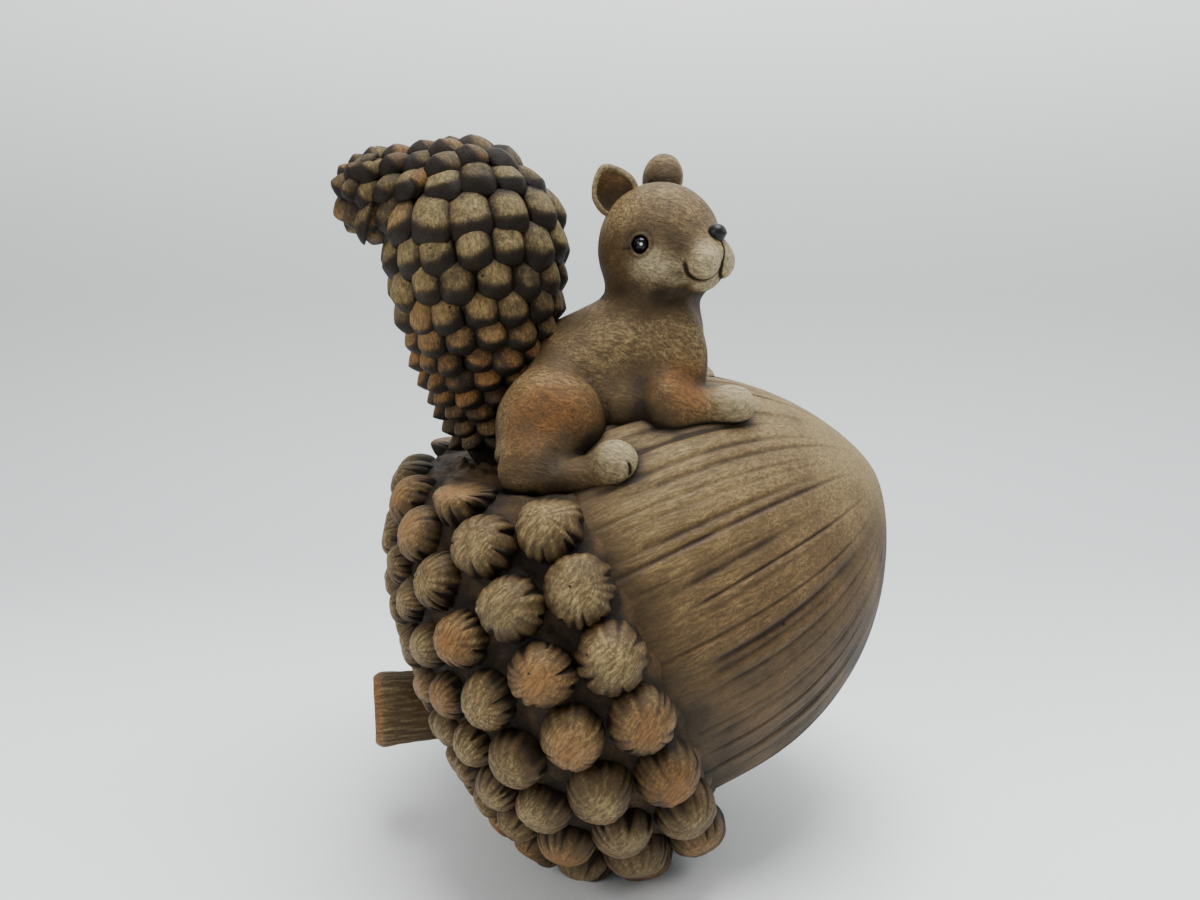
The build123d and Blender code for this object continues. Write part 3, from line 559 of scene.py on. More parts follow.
def make_knob_row(row, sizes):
    """One ring of knobs: each a dome set square on the cup, a little oval, with slits in its edge,
    dents from modelling by hand and fine streaks down from its top. Tops that would stand above
    the saddle are eased over, and the lowest knobs are cut flat at the floor."""
    spot, normal, whole = knob_spots(row, sizes)
    copies = len(spot)
    stand, saddle_ease, streak_depth = 4.5 * MM, 5 * MM, 0.35 * MM
    random = np.random.default_rng(40 + row)
    rows, columns = (detail(24), detail(96)) if row < 4 else (detail(16), detail(44))
    radius = whole * random.uniform(0.97, 1.05, (copies, 1, 1))
    tilt, angle, slit = knob_grid(copies, 60 + row, rows, columns)
    side = unit(np.cross(normal, UP + 0.01))
    top = np.cross(side, normal)
    oval = random.uniform(0.95, 1.05, (copies, 1, 1))
    out = np.sin(tilt) * radius * (1 - 0.14 * slit)
    flattened = 1 - 0.1 * line_at(tilt, 0.5)
    rise = np.cos(tilt) * flattened * radius * (1 - 0.1 * slit) + stand
    ways = (
        side[:, None, None] * (np.cos(angle) * out * oval)[..., None]
        + top[:, None, None] * (np.sin(angle) * out / oval)[..., None]
        + normal[:, None, None] * rise[..., None]
    )
    points = spot[:, None, None] + ways
    dents = rough_noise(points, 0.6 * whole, 11 + row)
    waves = random.uniform(0, 2 * np.pi, (copies, 4, 1, 1))
    turns = random.integers(9, 27, (copies, 4, 1, 1))
    streaks = np.cos(turns * angle + waves).mean(axis=1) * np.sin(np.minimum(tilt, np.pi / 2))
    points = points + unit(ways) * (dents * 0.06 * whole + streaks * streak_depth)[..., None]
    over = np.maximum(points[..., 2] - sizes.saddle_height + 1 * MM, 0)
    eased = saddle_ease * (1 - np.exp(-over / saddle_ease))
    points[..., 2] = np.maximum(points[..., 2] - over + eased, 0)
    sunk = np.clip(1.25 - tilt / np.radians(84), 0, 1)
    relief = np.clip(0.05 + 0.95 * sunk - 1.1 * slit + 0.3 * dents + 0.4 * streaks, 0, 1)
    # Painted shade where the squirrel is near and on the underside of each knob
    relief = relief * contact_shade(points) * (1 - 0.4 * np.clip(-unit(ways) @ UP, 0, 1))
    tinted = random.uniform(0, 1, (copies, 1, 1)) < 0.24
    rust = tinted * np.clip(0.9 - tilt / 1.4, 0, 1)
    pale = random.uniform(0.0, 0.12, (copies, 1, 1)) * sunk
    name = KNOB_ROWS[row]
    build_surface(f"{name}_skin", name, "knobs", points, relief=relief, rust=rust, pale=pale)


def stem_line(sizes):
    """Where the stem's axis meets the cup's bottom, and the way that the stem points."""
    centre, axis, _, across = acorn_frame(sizes)
    root = centre - across * sizes.cup_droop - axis * STEM_DEPTH
    return root, np.array([-np.cos(sizes.stem_turn), -np.sin(sizes.stem_turn), 0])


def clear_of_stem(spots, sizes):
    """Which spots are outside the stem."""
    root, way = stem_line(sizes)
    reach = (spots - root) @ way
    apart = np.linalg.norm(spots - root - way * reach[:, None], axis=-1)
    return (apart > sizes.stem_radius + 5 * MM) | (reach < -sizes.stem_radius)


def make_stem(sizes):
    """The stem: rings about its axis, wider at the cut end, with long grain ridges, a worn edge
    and a shallow dish with rings across the end."""
    root, way = stem_line(sizes)
    side = unit(np.cross(UP, way))
    hidden, wall_share = 13 * MM, 0.72
    grain_height, dish_depth, end_rings = 0.28 * MM, 1.6 * MM, 0.25 * MM
    trip, angle = ring_grid(np.linspace(0, 1, detail(90)), detail(160))
    wall = np.clip(trip / wall_share, 0, 1)
    face = np.clip((trip - wall_share) / (1 - wall_share), 0, 1)
    edge = np.sqrt(np.clip(1 - np.clip((wall - 0.9) / 0.1, 0, 1) ** 2 * 0.25, 0, 1))
    radius = sizes.stem_radius * (1 + 0.14 * np.clip(wall - 0.25, 0, 1) ** 1.4) * edge
    broad_grain = np.sin(angle * 23 + 2 * np.sin(wall * 5))
    fine_grain = np.sin(angle * 37 + 1.3 * np.sin(wall * 7 + 1))
    grain = 0.5 * (broad_grain + fine_grain)
    radius = (radius + grain * grain_height * (1 - face)) * (1 - face * 0.985)
    reach = (sizes.stem_length + hidden) * wall - hidden
    dish = dish_depth * np.clip(face * 4, 0, 1) * (1 - 0.3 * face)
    reach = reach - dish + end_rings * np.sin(face * 30) * (face > 0)
    ways = ways_round(angle, side, UP)
    points = (root + way * reach[..., None] + ways * radius[..., None])[None]
    points = roughened(points, 9 * MM, 0.5 * MM, 21)
    worn = line_at(trip - 0.71, 0.05)
    relief = 0.66 + 0.22 * grain * (1 - face) - 0.35 * np.clip(face * 5, 0, 1)
    # Painted shade darkens the stem towards the cup, and the worn edge is lighter
    relief = relief * np.clip(wall * 2.2 - 0.3, 0.15, 1) + 0.35 * worn
    build_surface("stem_skin", "stem", "stem", points, relief=relief[None], rust=(0.75 * worn)[None])


# The tail


def tail_frame(tail):
    """The tail's foot, its long direction and its forward direction."""
    back, up = np.sin(tail.lean), np.cos(tail.lean)
    return np.array(tail.foot), np.array([-back, 0, up]), np.array([up, 0, back])


def tail_radius_at(rise, tail):
    """The radius of the tail's core at a rise from its foot."""
    return tail.radius * np.interp(rise / tail.height, TAIL_RISES, TAIL_RADII)


def tip_frame(tail):
    """The curled tip's middle, the way it points and the upward direction across it."""
    way = np.array([-np.cos(tail.tip_lift), 0, np.sin(tail.tip_lift)])
    return np.array(tail.tip), way, np.cross(way, np.array([0.0, 1.0, 0.0]))


def tip_field(points, tail):
    """How far points are outside the curled tip's egg, nearly."""
    middle, way, up = tip_frame(tail)
    half = np.array([tail.tip_length, tail.tip_width, tail.tip_width]) / 2
    return egg(points, middle, way, up, half)


def cone_field(points, tail):
    """Distance, nearly, to the tail without its tip: the tapered cone below, half an egg above."""
    foot, long_way, forward = tail_frame(tail)
    rise = (points - foot) @ long_way
    apart = np.linalg.norm(points - foot - long_way * rise[..., None], axis=-1)
    cone = 0.9 * (apart - tail_radius_at(rise, tail))
    widest = 0.7 * tail.height
    half = np.array([0.29 * tail.height, tail.radius, tail.radius])
    crown = egg(points, foot + long_way * widest, long_way, forward, half)
    return np.where(rise < widest, cone, crown)


def tail_field(points):
    """The cone and the curled tip melted together."""
    tail = settings().tail
    return melt(cone_field(points, tail), tip_field(points, tail), 14 * MM)


def field_normal(points, field):
    """The outward direction of a field, from its change over half a millimetre."""
    steps = 0.5 * MM * np.eye(3)
    return unit(np.stack([field(points + step) - field(points - step) for step in steps], axis=-1))


def make_tail_core(tail):
    """The core under the scales: rings up the cone, then the crown and the tip as seen from
    inside them, all crusted."""
    foot, long_way, forward = tail_frame(tail)
    middle, way, _ = tip_frame(tail)
    crust_grain, crust_height, crown_reach, tip_reach = 5 * MM, 1.1 * MM, 70 * MM, 50 * MM
    rows, columns = detail(130), detail(160)
    rise, angle = ring_grid(np.linspace(0, 0.72 * tail.height, rows), columns)
    out = ways_round(angle, forward, np.cross(long_way, forward))
    cone = (foot + long_way * rise[..., None] + out * tail_radius_at(rise, tail)[..., None])[None]
    inside = foot + long_way * 0.74 * tail.height
    crown = ray_surface(inside, long_way, crown_reach, rows, columns, tail_field)
    tip = ray_surface(middle, way, tip_reach, rows, columns, tail_field)
    points = np.concatenate([cone, crown, tip])
    crust = rough_noise(points, crust_grain, 31)
    points = points + normals_of(points) * (crust * crust_height)[..., None]
    points[..., 2] = np.maximum(points[..., 2], foot[2] - 1 * MM)
    # Dark all over, as dark wash with painted shade, since it shows only in the gaps between the scales
    relief = 0.13 + 0.2 * crust
    build_surface("tail_core_skin", "tail_core", "tail_core", points, relief=relief, rust=0.1)


def scale_grid(rows, columns, ridge, point, copies, random):
    """Shapes of several scales: round at the top, flat or pointed at the bottom, and highest along
    a ridge across them. Returns how far across, along and out on the scale each vertex is, its
    height and how far it is above the ridge, all as shares."""
    ring, angle = ring_grid(np.linspace(0, 1, rows + 1)[1:], columns)
    power = np.where(np.sin(angle) < 0, 3.6 - 2.1 * point, 2.5 - 0.9 * point)
    spread = (np.abs(np.cos(angle)) ** power + np.abs(np.sin(angle)) ** power) ** (-1 / power)
    x = (ring * np.cos(angle) * spread)[None]
    y = (ring * np.sin(angle) * spread)[None]
    bend = random.uniform(-0.12, 0.12, (copies, 1, 1))
    ridge_line = ridge + 0.25 * x**2 * (1 - point) + bend * x
    past = y - ridge_line
    keen = 0.22 + 0.28 * point
    dome = np.sqrt(np.clip(1 - 0.9 * ring[None] ** 2.6, 0, 1))
    upper = 1 - keen + keen * np.clip(1 - past / (1 - ridge_line), 0, 1)
    lower = 1 - 1.1 * keen * np.clip(-past / (1 + ridge_line), 0, 1)
    height = dome * upper * lower * (1 - 0.22 * x**2)
    return x, y, ring[None], height, past


def place_scales(origin, normal, along, width, length, grid, seed, tail):
    """Several scales set on the tail, each lifted at its lower edge and tucked in at its upper one,
    a little out of line and of its own size. Returns their points, their mask of hollows with
    painted light and shade, and the random numbers that go on to their other masks."""
    x, y, ring, height, past = grid
    copies = len(origin)
    sink, tuck, bump_grain, bump_height = 2.8 * MM, 1.3 * MM, 4 * MM, 0.35 * MM
    random = np.random.default_rng(seed)
    across = np.cross(along, normal)
    own_size = random.uniform(0.92, 1.12, (copies, 1, 1))
    turn = random.uniform(-0.22, 0.22, (copies, 1, 1))
    origin = origin + along * random.uniform(-0.07, 0.07, (copies, 1)) * length
    origin = origin + across * random.uniform(-0.06, 0.06, (copies, 1)) * width
    u = (x * np.cos(turn) - y * np.sin(turn)) * width / 2 * own_size
    v = (x * np.sin(turn) + y * np.cos(turn)) * length / 2 * own_size
    stand = tail.scale_stand * random.uniform(0.85, 1.12, (copies, 1, 1))
    rise = height * stand * 1.4 - sink - tuck * y
    points = origin[:, None, None] + across[:, None, None] * u[..., None]
    points = points + along[:, None, None] * v[..., None] + normal[:, None, None] * rise[..., None]
    bumps = rough_noise(points, bump_grain, 50 + seed)
    points = points + normal[:, None, None] * (bumps * bump_height)[..., None]
    # Painted light and shade: the upper facet lit, and the lower facet, the tucked upper end and the rims
    # dark
    tucked = np.clip(1.15 - np.maximum(past - 0.75, 0) * 1.6, 0.3, 1)
    lit_upper_facet = np.clip(past * 3 + 0.6, 0, 1) * tucked
    bright = random.uniform(0.5, 1.0, (copies, 1, 1))
    relief = 0.9 * bright * lit_upper_facet * (1 - 0.75 * ring**7) * (1 - 0.5 * x**4)
    return points, 0.06 + relief + 0.3 * bumps, random


def scale_ring(centre, axis, start, radius, slope, count, phase):
    """Places of a ring of scales: points, outward normals and the ways along the surface."""
    angle = 2 * np.pi * (np.arange(count) + phase) / count
    out = ways_round(angle, start, np.cross(axis, start))
    return centre + out * radius, unit(out - axis * slope), unit(axis + out * slope)


def make_scale_row(row, tail):
    """One ring of scales up the tail: thumbs near the top, pointed lozenges near the foot, and none
    where the curled tip or the squirrel is."""
    foot, long_way, forward = tail_frame(tail)
    rise, count = SCALE_RISES[row] * MM, SCALE_COUNTS[row]
    radius = tail_radius_at(rise, tail)
    step = 4 * MM
    slope = (tail_radius_at(rise + step, tail) - tail_radius_at(rise - step, tail)) / (2 * step)
    centre = foot + long_way * rise
    origin, normal, along = scale_ring(centre, long_way, forward, radius, slope, count, row % 2 / 2)
    for _ in range(12):
        origin = origin - 0.8 * normal * np.minimum(tail_field(origin), 0)[:, None]
    keep = tip_field(origin, tail) > -3 * MM
    keep &= fur_field(origin + normal * 2 * MM) > -1.5 * MM
    origin, normal, along = origin[keep], normal[keep], along[keep]
    copies = len(origin)
    share = np.clip(row / 9, 0, 1)
    ridge, point = -0.12 - 0.26 * share, 1 - share
    width = 2 * np.pi * radius / count * 1.12
    length = np.gradient(np.array(SCALE_RISES))[row] * MM * (1.8 - 0.2 * share)
    random = np.random.default_rng(80 + row)
    grid = scale_grid(detail(11), detail(30), ridge, point, copies, random)
    points, relief, random = place_scales(origin, normal, along, width, length, grid, row, tail)
    orange = line_at(row - 4.5, 2.6)
    facing = np.clip(grid[4] * 3 + 0.4, 0, 1)
    rust = orange * facing * random.uniform(0.45, 1.0, (copies, 1, 1))
    rust = rust + 0.5 * (random.uniform(0, 1, (copies, 1, 1)) < 0.12)
    pale = np.clip(share * 1.2 - 0.35, 0, 1) * 0.5 * facing
    name = SCALE_ROWS[row]
    build_surface(f"{name}_skin", name, "scales", points, relief=relief, rust=rust, pale=pale)


def make_tip_row(reach, count, phase, length_share, tail):
    """One ring of scales round the curled tip's axis, set on the tail's skin. Those that would
    fall inside the tail, or where its own rings are, are left off."""
    middle, way, up = tip_frame(tail)
    nearest, farthest, kept_within = 1 * MM, 70 * MM, 52 * MM
    narrowest, widest, length = 9 * MM, 18 * MM, 19 * MM * length_share
    angle = 2 * np.pi * (np.arange(count) + phase) / count
    out = ways_round(angle, up, np.cross(way, up))
    start = middle + way * reach * MM
    trip = np.full(count, 3 * MM)
    for _ in range(40):
        trip = np.clip(trip - 0.8 * tail_field(start + out * trip[:, None]), nearest, farthest)
    origin = start + out * trip[:, None]
    foot, long_way, _ = tail_frame(tail)
    above_rings = (origin - foot) @ long_way > 0.9 * tail.height
    outside = cone_field(origin, tail) > 1.2 * MM
    keep = (trip < kept_within) & (outside | above_rings)
    origin, trip = origin[keep], trip[keep]
    copies = len(origin)
    normal = field_normal(origin, tail_field)
    lean = UP - way * 0.8
    along = unit(lean - normal * (normal @ lean)[:, None])
    seed = 120 + int(reach)
    random = np.random.default_rng(seed)
    grid = scale_grid(detail(10), detail(28), -0.25, 0.0, copies, random)
    width = np.clip(2 * np.pi * trip.mean() / count * 1.15, narrowest, widest)
    points, relief, random = place_scales(origin, normal, along, width, length, grid, seed, tail)
    tinted = random.uniform(0, 1, (copies, 1, 1)) < 0.4
    return points, relief, tinted * random.uniform(0.2, 0.8, (copies, 1, 1)) * np.ones_like(relief)


def make_tip_rows(tail):
    """The crown over the cone's top and the curled tip's rings, one object for each node."""
    for name, rings in TIP_RINGS.items():
        made = [make_tip_row(*ring, tail) for ring in rings]
        points, relief, rust = (np.concatenate(parts) for parts in zip(*made))
        build_surface(f"{name}_skin", name, "scales", points, relief=relief, rust=rust, pale=0.15)


# The squirrel's forms


def egg(points, centre, along, up, half):
    """Distance, nearly, from points to an egg with three half widths: along, across and up."""
    along = unit(along)
    across = unit(np.cross(up, along))
    third = np.cross(along, across)
    local = (points - centre) @ np.stack([along, across, third], axis=1)
    near = np.linalg.norm(local / half, axis=-1)
    steep = np.linalg.norm(local / half**2, axis=-1)
    return near * (near - 1) / np.maximum(steep, 1e-6)


def melt(first, second, softness):
    """The union of two fields, rounded over where they meet."""
    mix = np.clip(0.5 + 0.5 * (second - first) / softness, 0, 1)
    return second + (first - second) * mix - softness * mix * (1 - mix)


def settings():
    """The figurine's sizes, as the panel has them."""
    return bpy.context.scene.squirrel_figurine


def head_frame():
    """The head's middle, and its forward and right directions."""
    squirrel = settings().squirrel
    turn = squirrel.head_turn
    forward = np.array([np.cos(turn), -np.sin(turn), 0])
    right = np.array([-np.sin(turn), -np.cos(turn), 0])
    return np.array(squirrel.head), forward, right


def on_head(ahead, out, rise):
    """A point given in millimetres ahead of, right of and above the head's middle."""
    middle, forward, right = head_frame()
    return middle + (forward * ahead + right * out + UP * rise) * MM


def eye_centre(side):
    """The middle of one eye. Side is 1 on the right and -1 on the left."""
    return on_head(10.8, side * 24.4, -1.4)


def trunk_field(points):
    """The trunk: its forms melted together."""
    middle = settings().squirrel.middle
    field = None
    for ahead, height, *half in TRUNK.values():
        centre = np.array([ahead * MM, middle, height * MM])
        form = egg(points, centre, (1, 0, 0), UP, np.array(half) * MM)
        field = form if field is None else melt(field, form, 9 * MM)
    return field


def limb_place(name, side):
    """A limb form's middle and long direction. Side is 1 on the right and -1 on the left."""
    (ahead, out, height), (x, y, z), half, (lift, shift), softness = LIMBS[name]
    middle = settings().squirrel.middle / MM
    lift, shift = (0, 0) if side > 0 else (lift, shift)
    place = np.array([ahead + shift, middle - side * out, height + lift]) * MM
    return place, np.array([x, y * side, z]), np.array(half) * MM, softness * MM


def limb_form(points, name, side):
    """How far points are outside one form of a limb, nearly."""
    place, along, half, _ = limb_place(name, side)
    up = UP if abs(along[2]) < 0.7 else np.array([1.0, 0.0, 0.0])
    return egg(points, place, along, up, half)


def eye_lids(points):
    """Rings of lid round the eyes, as a field."""
    lid_radius, lid_lift, lid_thickness = 4.2 * MM, 0.5 * MM, 0.85 * MM
    field = np.full(points.shape[:-1], 1.0)
    middle, _, _ = head_frame()
    for side in (1, -1):
        eye = eye_centre(side)
        out = unit(eye - middle + UP * 0.5 * MM)
        local = points - eye
        depth = local @ out
        around = np.linalg.norm(local - out * depth[..., None], axis=-1)
        lid = np.hypot(around - lid_radius, depth - lid_lift) - lid_thickness
        field = np.minimum(field, lid)
    return field


def head_field(points):
    """The head: skull, jowls and snout melted together, then the chin, the two pads and the lids."""
    _, forward, _ = head_frame()
    socket_radius, lid_softness = 3.3 * MM, 1.6 * MM
    field = None
    for (ahead, out, rise), half, softness in HEAD.values():
        form = egg(points, on_head(ahead, out, rise), forward, UP, np.array(half) * MM)
        field = form if field is None else melt(field, form, softness * MM)
    for side in (1, -1):
        eye = eye_centre(side)
        field = np.maximum(field, socket_radius - np.linalg.norm(points - eye, axis=-1))
    return melt(field, eye_lids(points), lid_softness)


def fur_field(points):
    """The whole squirrel without its ears: the distance, nearly, to its skin."""
    body = melt(trunk_field(points), head_field(points), 7 * MM)
    for side in (1, -1):
        haunch = limb_form(points, "haunch", side)
        place, _, _, softness = limb_place("haunch", side)
        behind = place[0] + 10 * MM - points[..., 0] + 0.3 * (points[..., 2] - place[2])
        body = melt(body, haunch, softness + 16 * MM * np.clip(behind / (26 * MM), 0, 1))
        body = melt(body, limb_form(points, "hock", side), 9 * MM)
        arm = melt(limb_form(points, "shoulder", side), limb_form(points, "elbow", side), 7 * MM)
        arm = melt(arm, limb_form(points, "forearm", side), 6 * MM)
        arm = melt(arm, limb_form(points, "paw", side), 4 * MM)
        low = np.clip((points[..., 2] - 222 * MM) / (18 * MM), 0.35, 1)
        body = melt(body, arm, 9 * MM * low)
        foot = melt(limb_form(points, "sole", side), limb_form(points, "toes", side), 5 * MM)
        heel = np.clip((-8 * MM - points[..., 0]) / (16 * MM), 0, 1)
        body = melt(body, foot, (1.2 + 8 * heel) * MM)
    return body


def ground_field(points):
    """The acorn and the tail, which the squirrel's contact shade needs: the nearest of them."""
    sizes, tail = settings().acorn, settings().tail
    centre, axis, _, _ = acorn_frame(sizes)
    offset = points - centre
    reach = offset @ axis
    apart = np.linalg.norm(offset - axis * reach[..., None], axis=-1)
    nut = apart - nut_radius_at(np.maximum(reach, 0), sizes)
    foot, long_way, _ = tail_frame(tail)
    rise = (points - foot) @ long_way
    apart = np.linalg.norm(points - foot - long_way * rise[..., None], axis=-1)
    inside = (rise > 0) & (rise < tail.height)
    cone = np.where(inside, apart - tail_radius_at(rise, tail), 50 * MM)
    saddle = points[..., 2] - sizes.saddle_height
    saddle = np.where(reach < 0, saddle, 50 * MM)
    return np.minimum(np.minimum(nut, cone), saddle)


def contact_shade(points):
    """Dark where the squirrel touches the acorn, easing to 1 in the open."""
    flat = points.reshape(-1, 3)
    shade = np.ones(len(flat))
    near = flat[:, 2] > 150 * MM
    if near.any():
        shade[near] = np.clip(fur_field(flat[near]) / (9 * MM), 0, 1) ** 0.6
    return 0.22 + 0.78 * shade.reshape(points.shape[:-1])


def ray_surface(centre, axis, limit, rows, columns, field):
    """The skin of a field as seen from a point inside it: rays on a grid of angles about an axis,
    each walked outward by the field's own distance until it meets the skin."""
    axis = unit(axis)
    first = unit(np.cross(axis, UP + np.array([0.3, 0.1, 0])))
    tilt, angle = ring_grid(np.linspace(0, np.pi, rows + 2)[1:-1], columns)
    ways = ways_round(angle, first, np.cross(axis, first)) * np.sin(tilt)[..., None]
    ways = axis * np.cos(tilt)[..., None] + ways
    trip = np.full(tilt.shape, 0.25 * limit)
    for _ in range(26):
        trip = np.clip(trip - 0.85 * field(centre + ways * trip[..., None]), 0.05 * limit, limit)
    return (centre + ways * trip[..., None])[None]


def openness(points):
    """How open the surroundings of the skin are: 1 on bulges, towards 0 in creases."""
    normal = normals_of(points)
    total = np.zeros(points.shape[:-1])
    for reach in (2.5 * MM, 6 * MM):
        probe = points + normal * reach
        room = np.minimum(fur_field(probe), ground_field(probe))
        total += np.clip(room / reach, 0, 1) / 2
    return total


def face_masks(points):
    """Cream and rust over the squirrel: on its face, its feet, its haunches and its shoulders."""
    pale = np.zeros(points.shape[:-1])
    rust = np.zeros_like(pale)
    for side in (1, -1):
        for ahead, out, rise, spread, strength in CREAM_ON_HEAD:
            place = on_head(ahead, side * out, rise)
            pale = np.maximum(pale, strength * patch_at(points, place, spread, 4))
        for name, spread in CREAM_ON_LIMBS.items():
            place = limb_place(name, side)[0] + np.array([4, 0, 4]) * MM
            pale = np.maximum(pale, 0.85 * patch_at(points, place, spread, 4))
        for name, (ahead, out, rise), spread, strength in RUST_ON_LIMBS:
            place = limb_place(name, side)[0] + np.array([ahead, -out * side, rise]) * MM
            rust = np.maximum(rust, strength * patch_at(points, place, spread, 3))
    return pale, rust


def painted_shade_patches(points):
    """Painted shade: round the eyes, beside the muzzle, under the cheeks, on the nape, down the back
    to the tail, behind the forelegs and along the belly."""
    shade = np.zeros(points.shape[:-1])
    middle = settings().squirrel.middle / MM
    for side in (1, -1):
        patches = []
        for ahead, out, rise, spread, strength in HEAD_SHADES:
            patches.append((on_head(ahead, side * out, rise), spread, strength))
        for ahead, out, height, spread, strength in BODY_SHADES:
            patches.append((np.array([ahead, middle - side * out, height]) * MM, spread, strength))
        for place, spread, strength in patches:
            shade = 1 - (1 - shade) * (1 - strength * patch_at(points, place, spread, 2))
    return shade


def mouth_line(points, side):
    """The cut under one pad of the muzzle: the lower half of a ring round it."""
    _, forward, right = head_frame()
    pad = on_head(30.5, side * 6.6, -8.6)
    out = unit(forward + right * side * 0.55)
    local = points - pad
    u, v, w = local @ np.cross(UP, out), local @ UP, local @ out
    lower = 1 / (1 + np.exp((v + 0.5 * MM) / (0.7 * MM)))
    return line_at(np.hypot(u, v) - 8.7 * MM, 0.5 * MM) * lower * (w > -2 * MM)


def eye_lines(points, side):
    """Dark round one eye: its socket, a faint ring outside the lid, and the corner behind it."""
    _, forward, _ = head_frame()
    eye = eye_centre(side)
    back = (points - eye) @ -forward
    away = np.linalg.norm(points - eye, axis=-1)
    away = np.sqrt(np.maximum(away**2 - 0.36 * np.maximum(back, 0) ** 2, 0))
    ring = 0.3 * line_at(away - 6.0 * MM, 0.7 * MM)
    socket = np.clip(1 - (away - 3.9 * MM) / (0.7 * MM), 0, 1)
    corner = 0.7 * line_at((points - eye) @ UP + 1.2 * MM + 0.1 * back, 0.9 * MM)
    corner = corner * (back > 3 * MM) * (back < 9 * MM) * (away < 9 * MM)
    return np.maximum(np.maximum(ring, socket), corner)


def toe_line(points, side):
    """The slit between two toes of one hind foot, bowed towards the heel above and below."""
    toe = limb_place("toes", side)[0]
    x, y, z = np.moveaxis(points - toe, -1, 0)
    bend = 7 * MM - 0.15 * z - 70 * z**2
    slit = line_at(x - bend, 0.7 * MM) * np.clip(2 - np.abs(z + 0.5 * MM) / (2 * MM), 0, 1)
    return slit * (y * side < -3 * MM) * (np.linalg.norm(points - toe, axis=-1) < 16 * MM)


def dark_lines(points):
    """Painted and cut lines: from the nose down, under each pad, round the eyes, at the toes."""
    middle, forward, right = head_frame()
    local = points - middle
    out, rise, ahead = local @ right, local @ UP, local @ forward
    line = line_at(out, 0.5 * MM) * (ahead > 25 * MM) * (rise < 3 * MM) * (rise > -13 * MM)
    for side in (1, -1):
        for drawn in (mouth_line, eye_lines, toe_line):
            line = np.maximum(line, drawn(points, side))
    return line


def build_fur(node, parts, slot="fur"):
    """A piece of the squirrel from one or more ray surfaces: fine tufts and cut lines, then its
    masks, with painted shade in the creases, where it nears the acorn and the tail, and in patches."""
    points = np.concatenate(parts)
    tuft_grain, tuft_height, cut_depth = 5 * MM, 0.22 * MM, 0.7 * MM
    tufts = rough_noise(points * np.array([0.6, 1.0, 1.0]), tuft_grain, 71)
    lines = dark_lines(points)
    points = points + normals_of(points) * (tufts * tuft_height - lines * cut_depth)[..., None]
    # Darker in creases, as dark wash with painted shade, and painted shade where the skin nears the acorn
    # and the tail
    relief = np.clip(openness(points) * 0.92 + 0.1 * tufts, 0, 1) * (1 - 0.85 * lines)
    pale, rust = face_masks(points)
    # Painted shade in patches, over the paint and the cream
    shade = painted_shade_patches(points)
    relief, pale = relief * (1 - shade), pale * (1 - 0.6 * shade)
    build_surface(f"{node}_skin", node, slot, points, relief=relief, rust=rust, pale=pale)


def make_body():
    """Trunk and neck, as seen from a point in the middle of the trunk."""
    centre = np.array([8 * MM, settings().squirrel.middle, 240 * MM])
    rows, columns = detail(190), detail(240)
    build_fur("body", [ray_surface(centre, (1, 0, 0), 62 * MM, rows, columns, fur_field)])


def make_head():
    """The head and the top of the neck, as seen from the middle of the skull."""
    middle, forward, _ = head_frame()
    rows, columns = detail(280), detail(300)
    build_fur("head", [ray_surface(middle, forward, 44 * MM, rows, columns, fur_field)])


def make_limbs(side, word):
    """Haunch, hind foot, foreleg and forepaw of one side."""
    fine = detail(110)
    for limb, (slot, forms) in LIMB_PIECES.items():
        parts = []
        for form, limit, (x, y, z) in forms:
            centre = limb_place(form, side)[0]
            parts.append(ray_surface(centre, (x, y * side, z), limit * MM, fine, fine, fur_field))
        build_fur(f"{limb}_{word}", parts, slot)


def make_ear(side, word, squirrel):
    """An ear: rings over its back, round its rim and down into its hollow, pointed at the top. The
    left one is turned so that its back shows from the squirrel's right, and is rounder."""
    _, forward, right = head_frame()
    near = side > 0
    back_depth, hollow_depth = 10 * MM, 4.2 * MM
    centre = on_head(-12.5, side * 17.5, 22.5 if near else 28.5)
    tip_way = unit(UP - forward * 0.35 + right * side * 0.3)
    face = forward * (1.0 if near else -0.2) + right * side
    face = unit(face - tip_way * (face @ tip_way))
    across = np.cross(tip_way, face)
    trip, angle = ring_grid(np.linspace(0.01, 0.99, detail(60)), detail(72))
    back = trip < 0.5
    turned = np.cos(trip * np.pi)
    depth = np.where(back, -turned * back_depth - 1 * MM, turned * hollow_depth + 0.6 * MM)
    ring = np.sin(trip * np.pi) * np.where(back, 1.0, 0.78)
    tall = np.sin(angle) * squirrel.ear_height / 2 * ring
    pointed = np.clip(np.sin(angle) * np.sin(trip * np.pi), 0, 1) ** 1.6
    wide = np.cos(angle) * squirrel.ear_width / 2 * ring * (1 - (0.34 if near else 0.1) * pointed)
    points = centre + tip_way * tall[..., None] + across * wide[..., None] + face * depth[..., None]
    points = roughened(points[None], 5 * MM, 0.3 * MM, 91)
    inside = np.clip((trip - 0.56) / 0.16, 0, 1)
    rim = line_at(trip - 0.5, 0.07)
    relief = (0.85 - 0.12 * inside) * np.clip(0.62 + tall / (16 * MM), 0.4, 1)
    relief = np.maximum(relief, 0.9 * rim)
    masks = {"relief": relief[None], "pale": (0.3 * rim)[None], "rust": (0.3 * inside)[None]}
    build_surface(f"ear_{word}_skin", f"ear_{word}", "fur", points, **masks)


def ball(centre, radius):
    """The field of a ball."""
    return lambda points: np.linalg.norm(points - centre, axis=-1) - radius


def make_bead(name, paint, centre, axis, field, reach, glint):
    """A polished bead from a field, with a painted highlight, a small white reflection, where glint says.
    """
    points = ray_surface(centre, axis, reach, detail(48), detail(64), field)
    away = np.linalg.norm(points - glint, axis=-1)
    painted_glint = 1 / (1 + np.exp((away - 0.55 * MM) / (0.08 * MM)))
    build_surface(f"{name}_skin", name, "bead", points, paint, relief=1.0, pale=painted_glint)


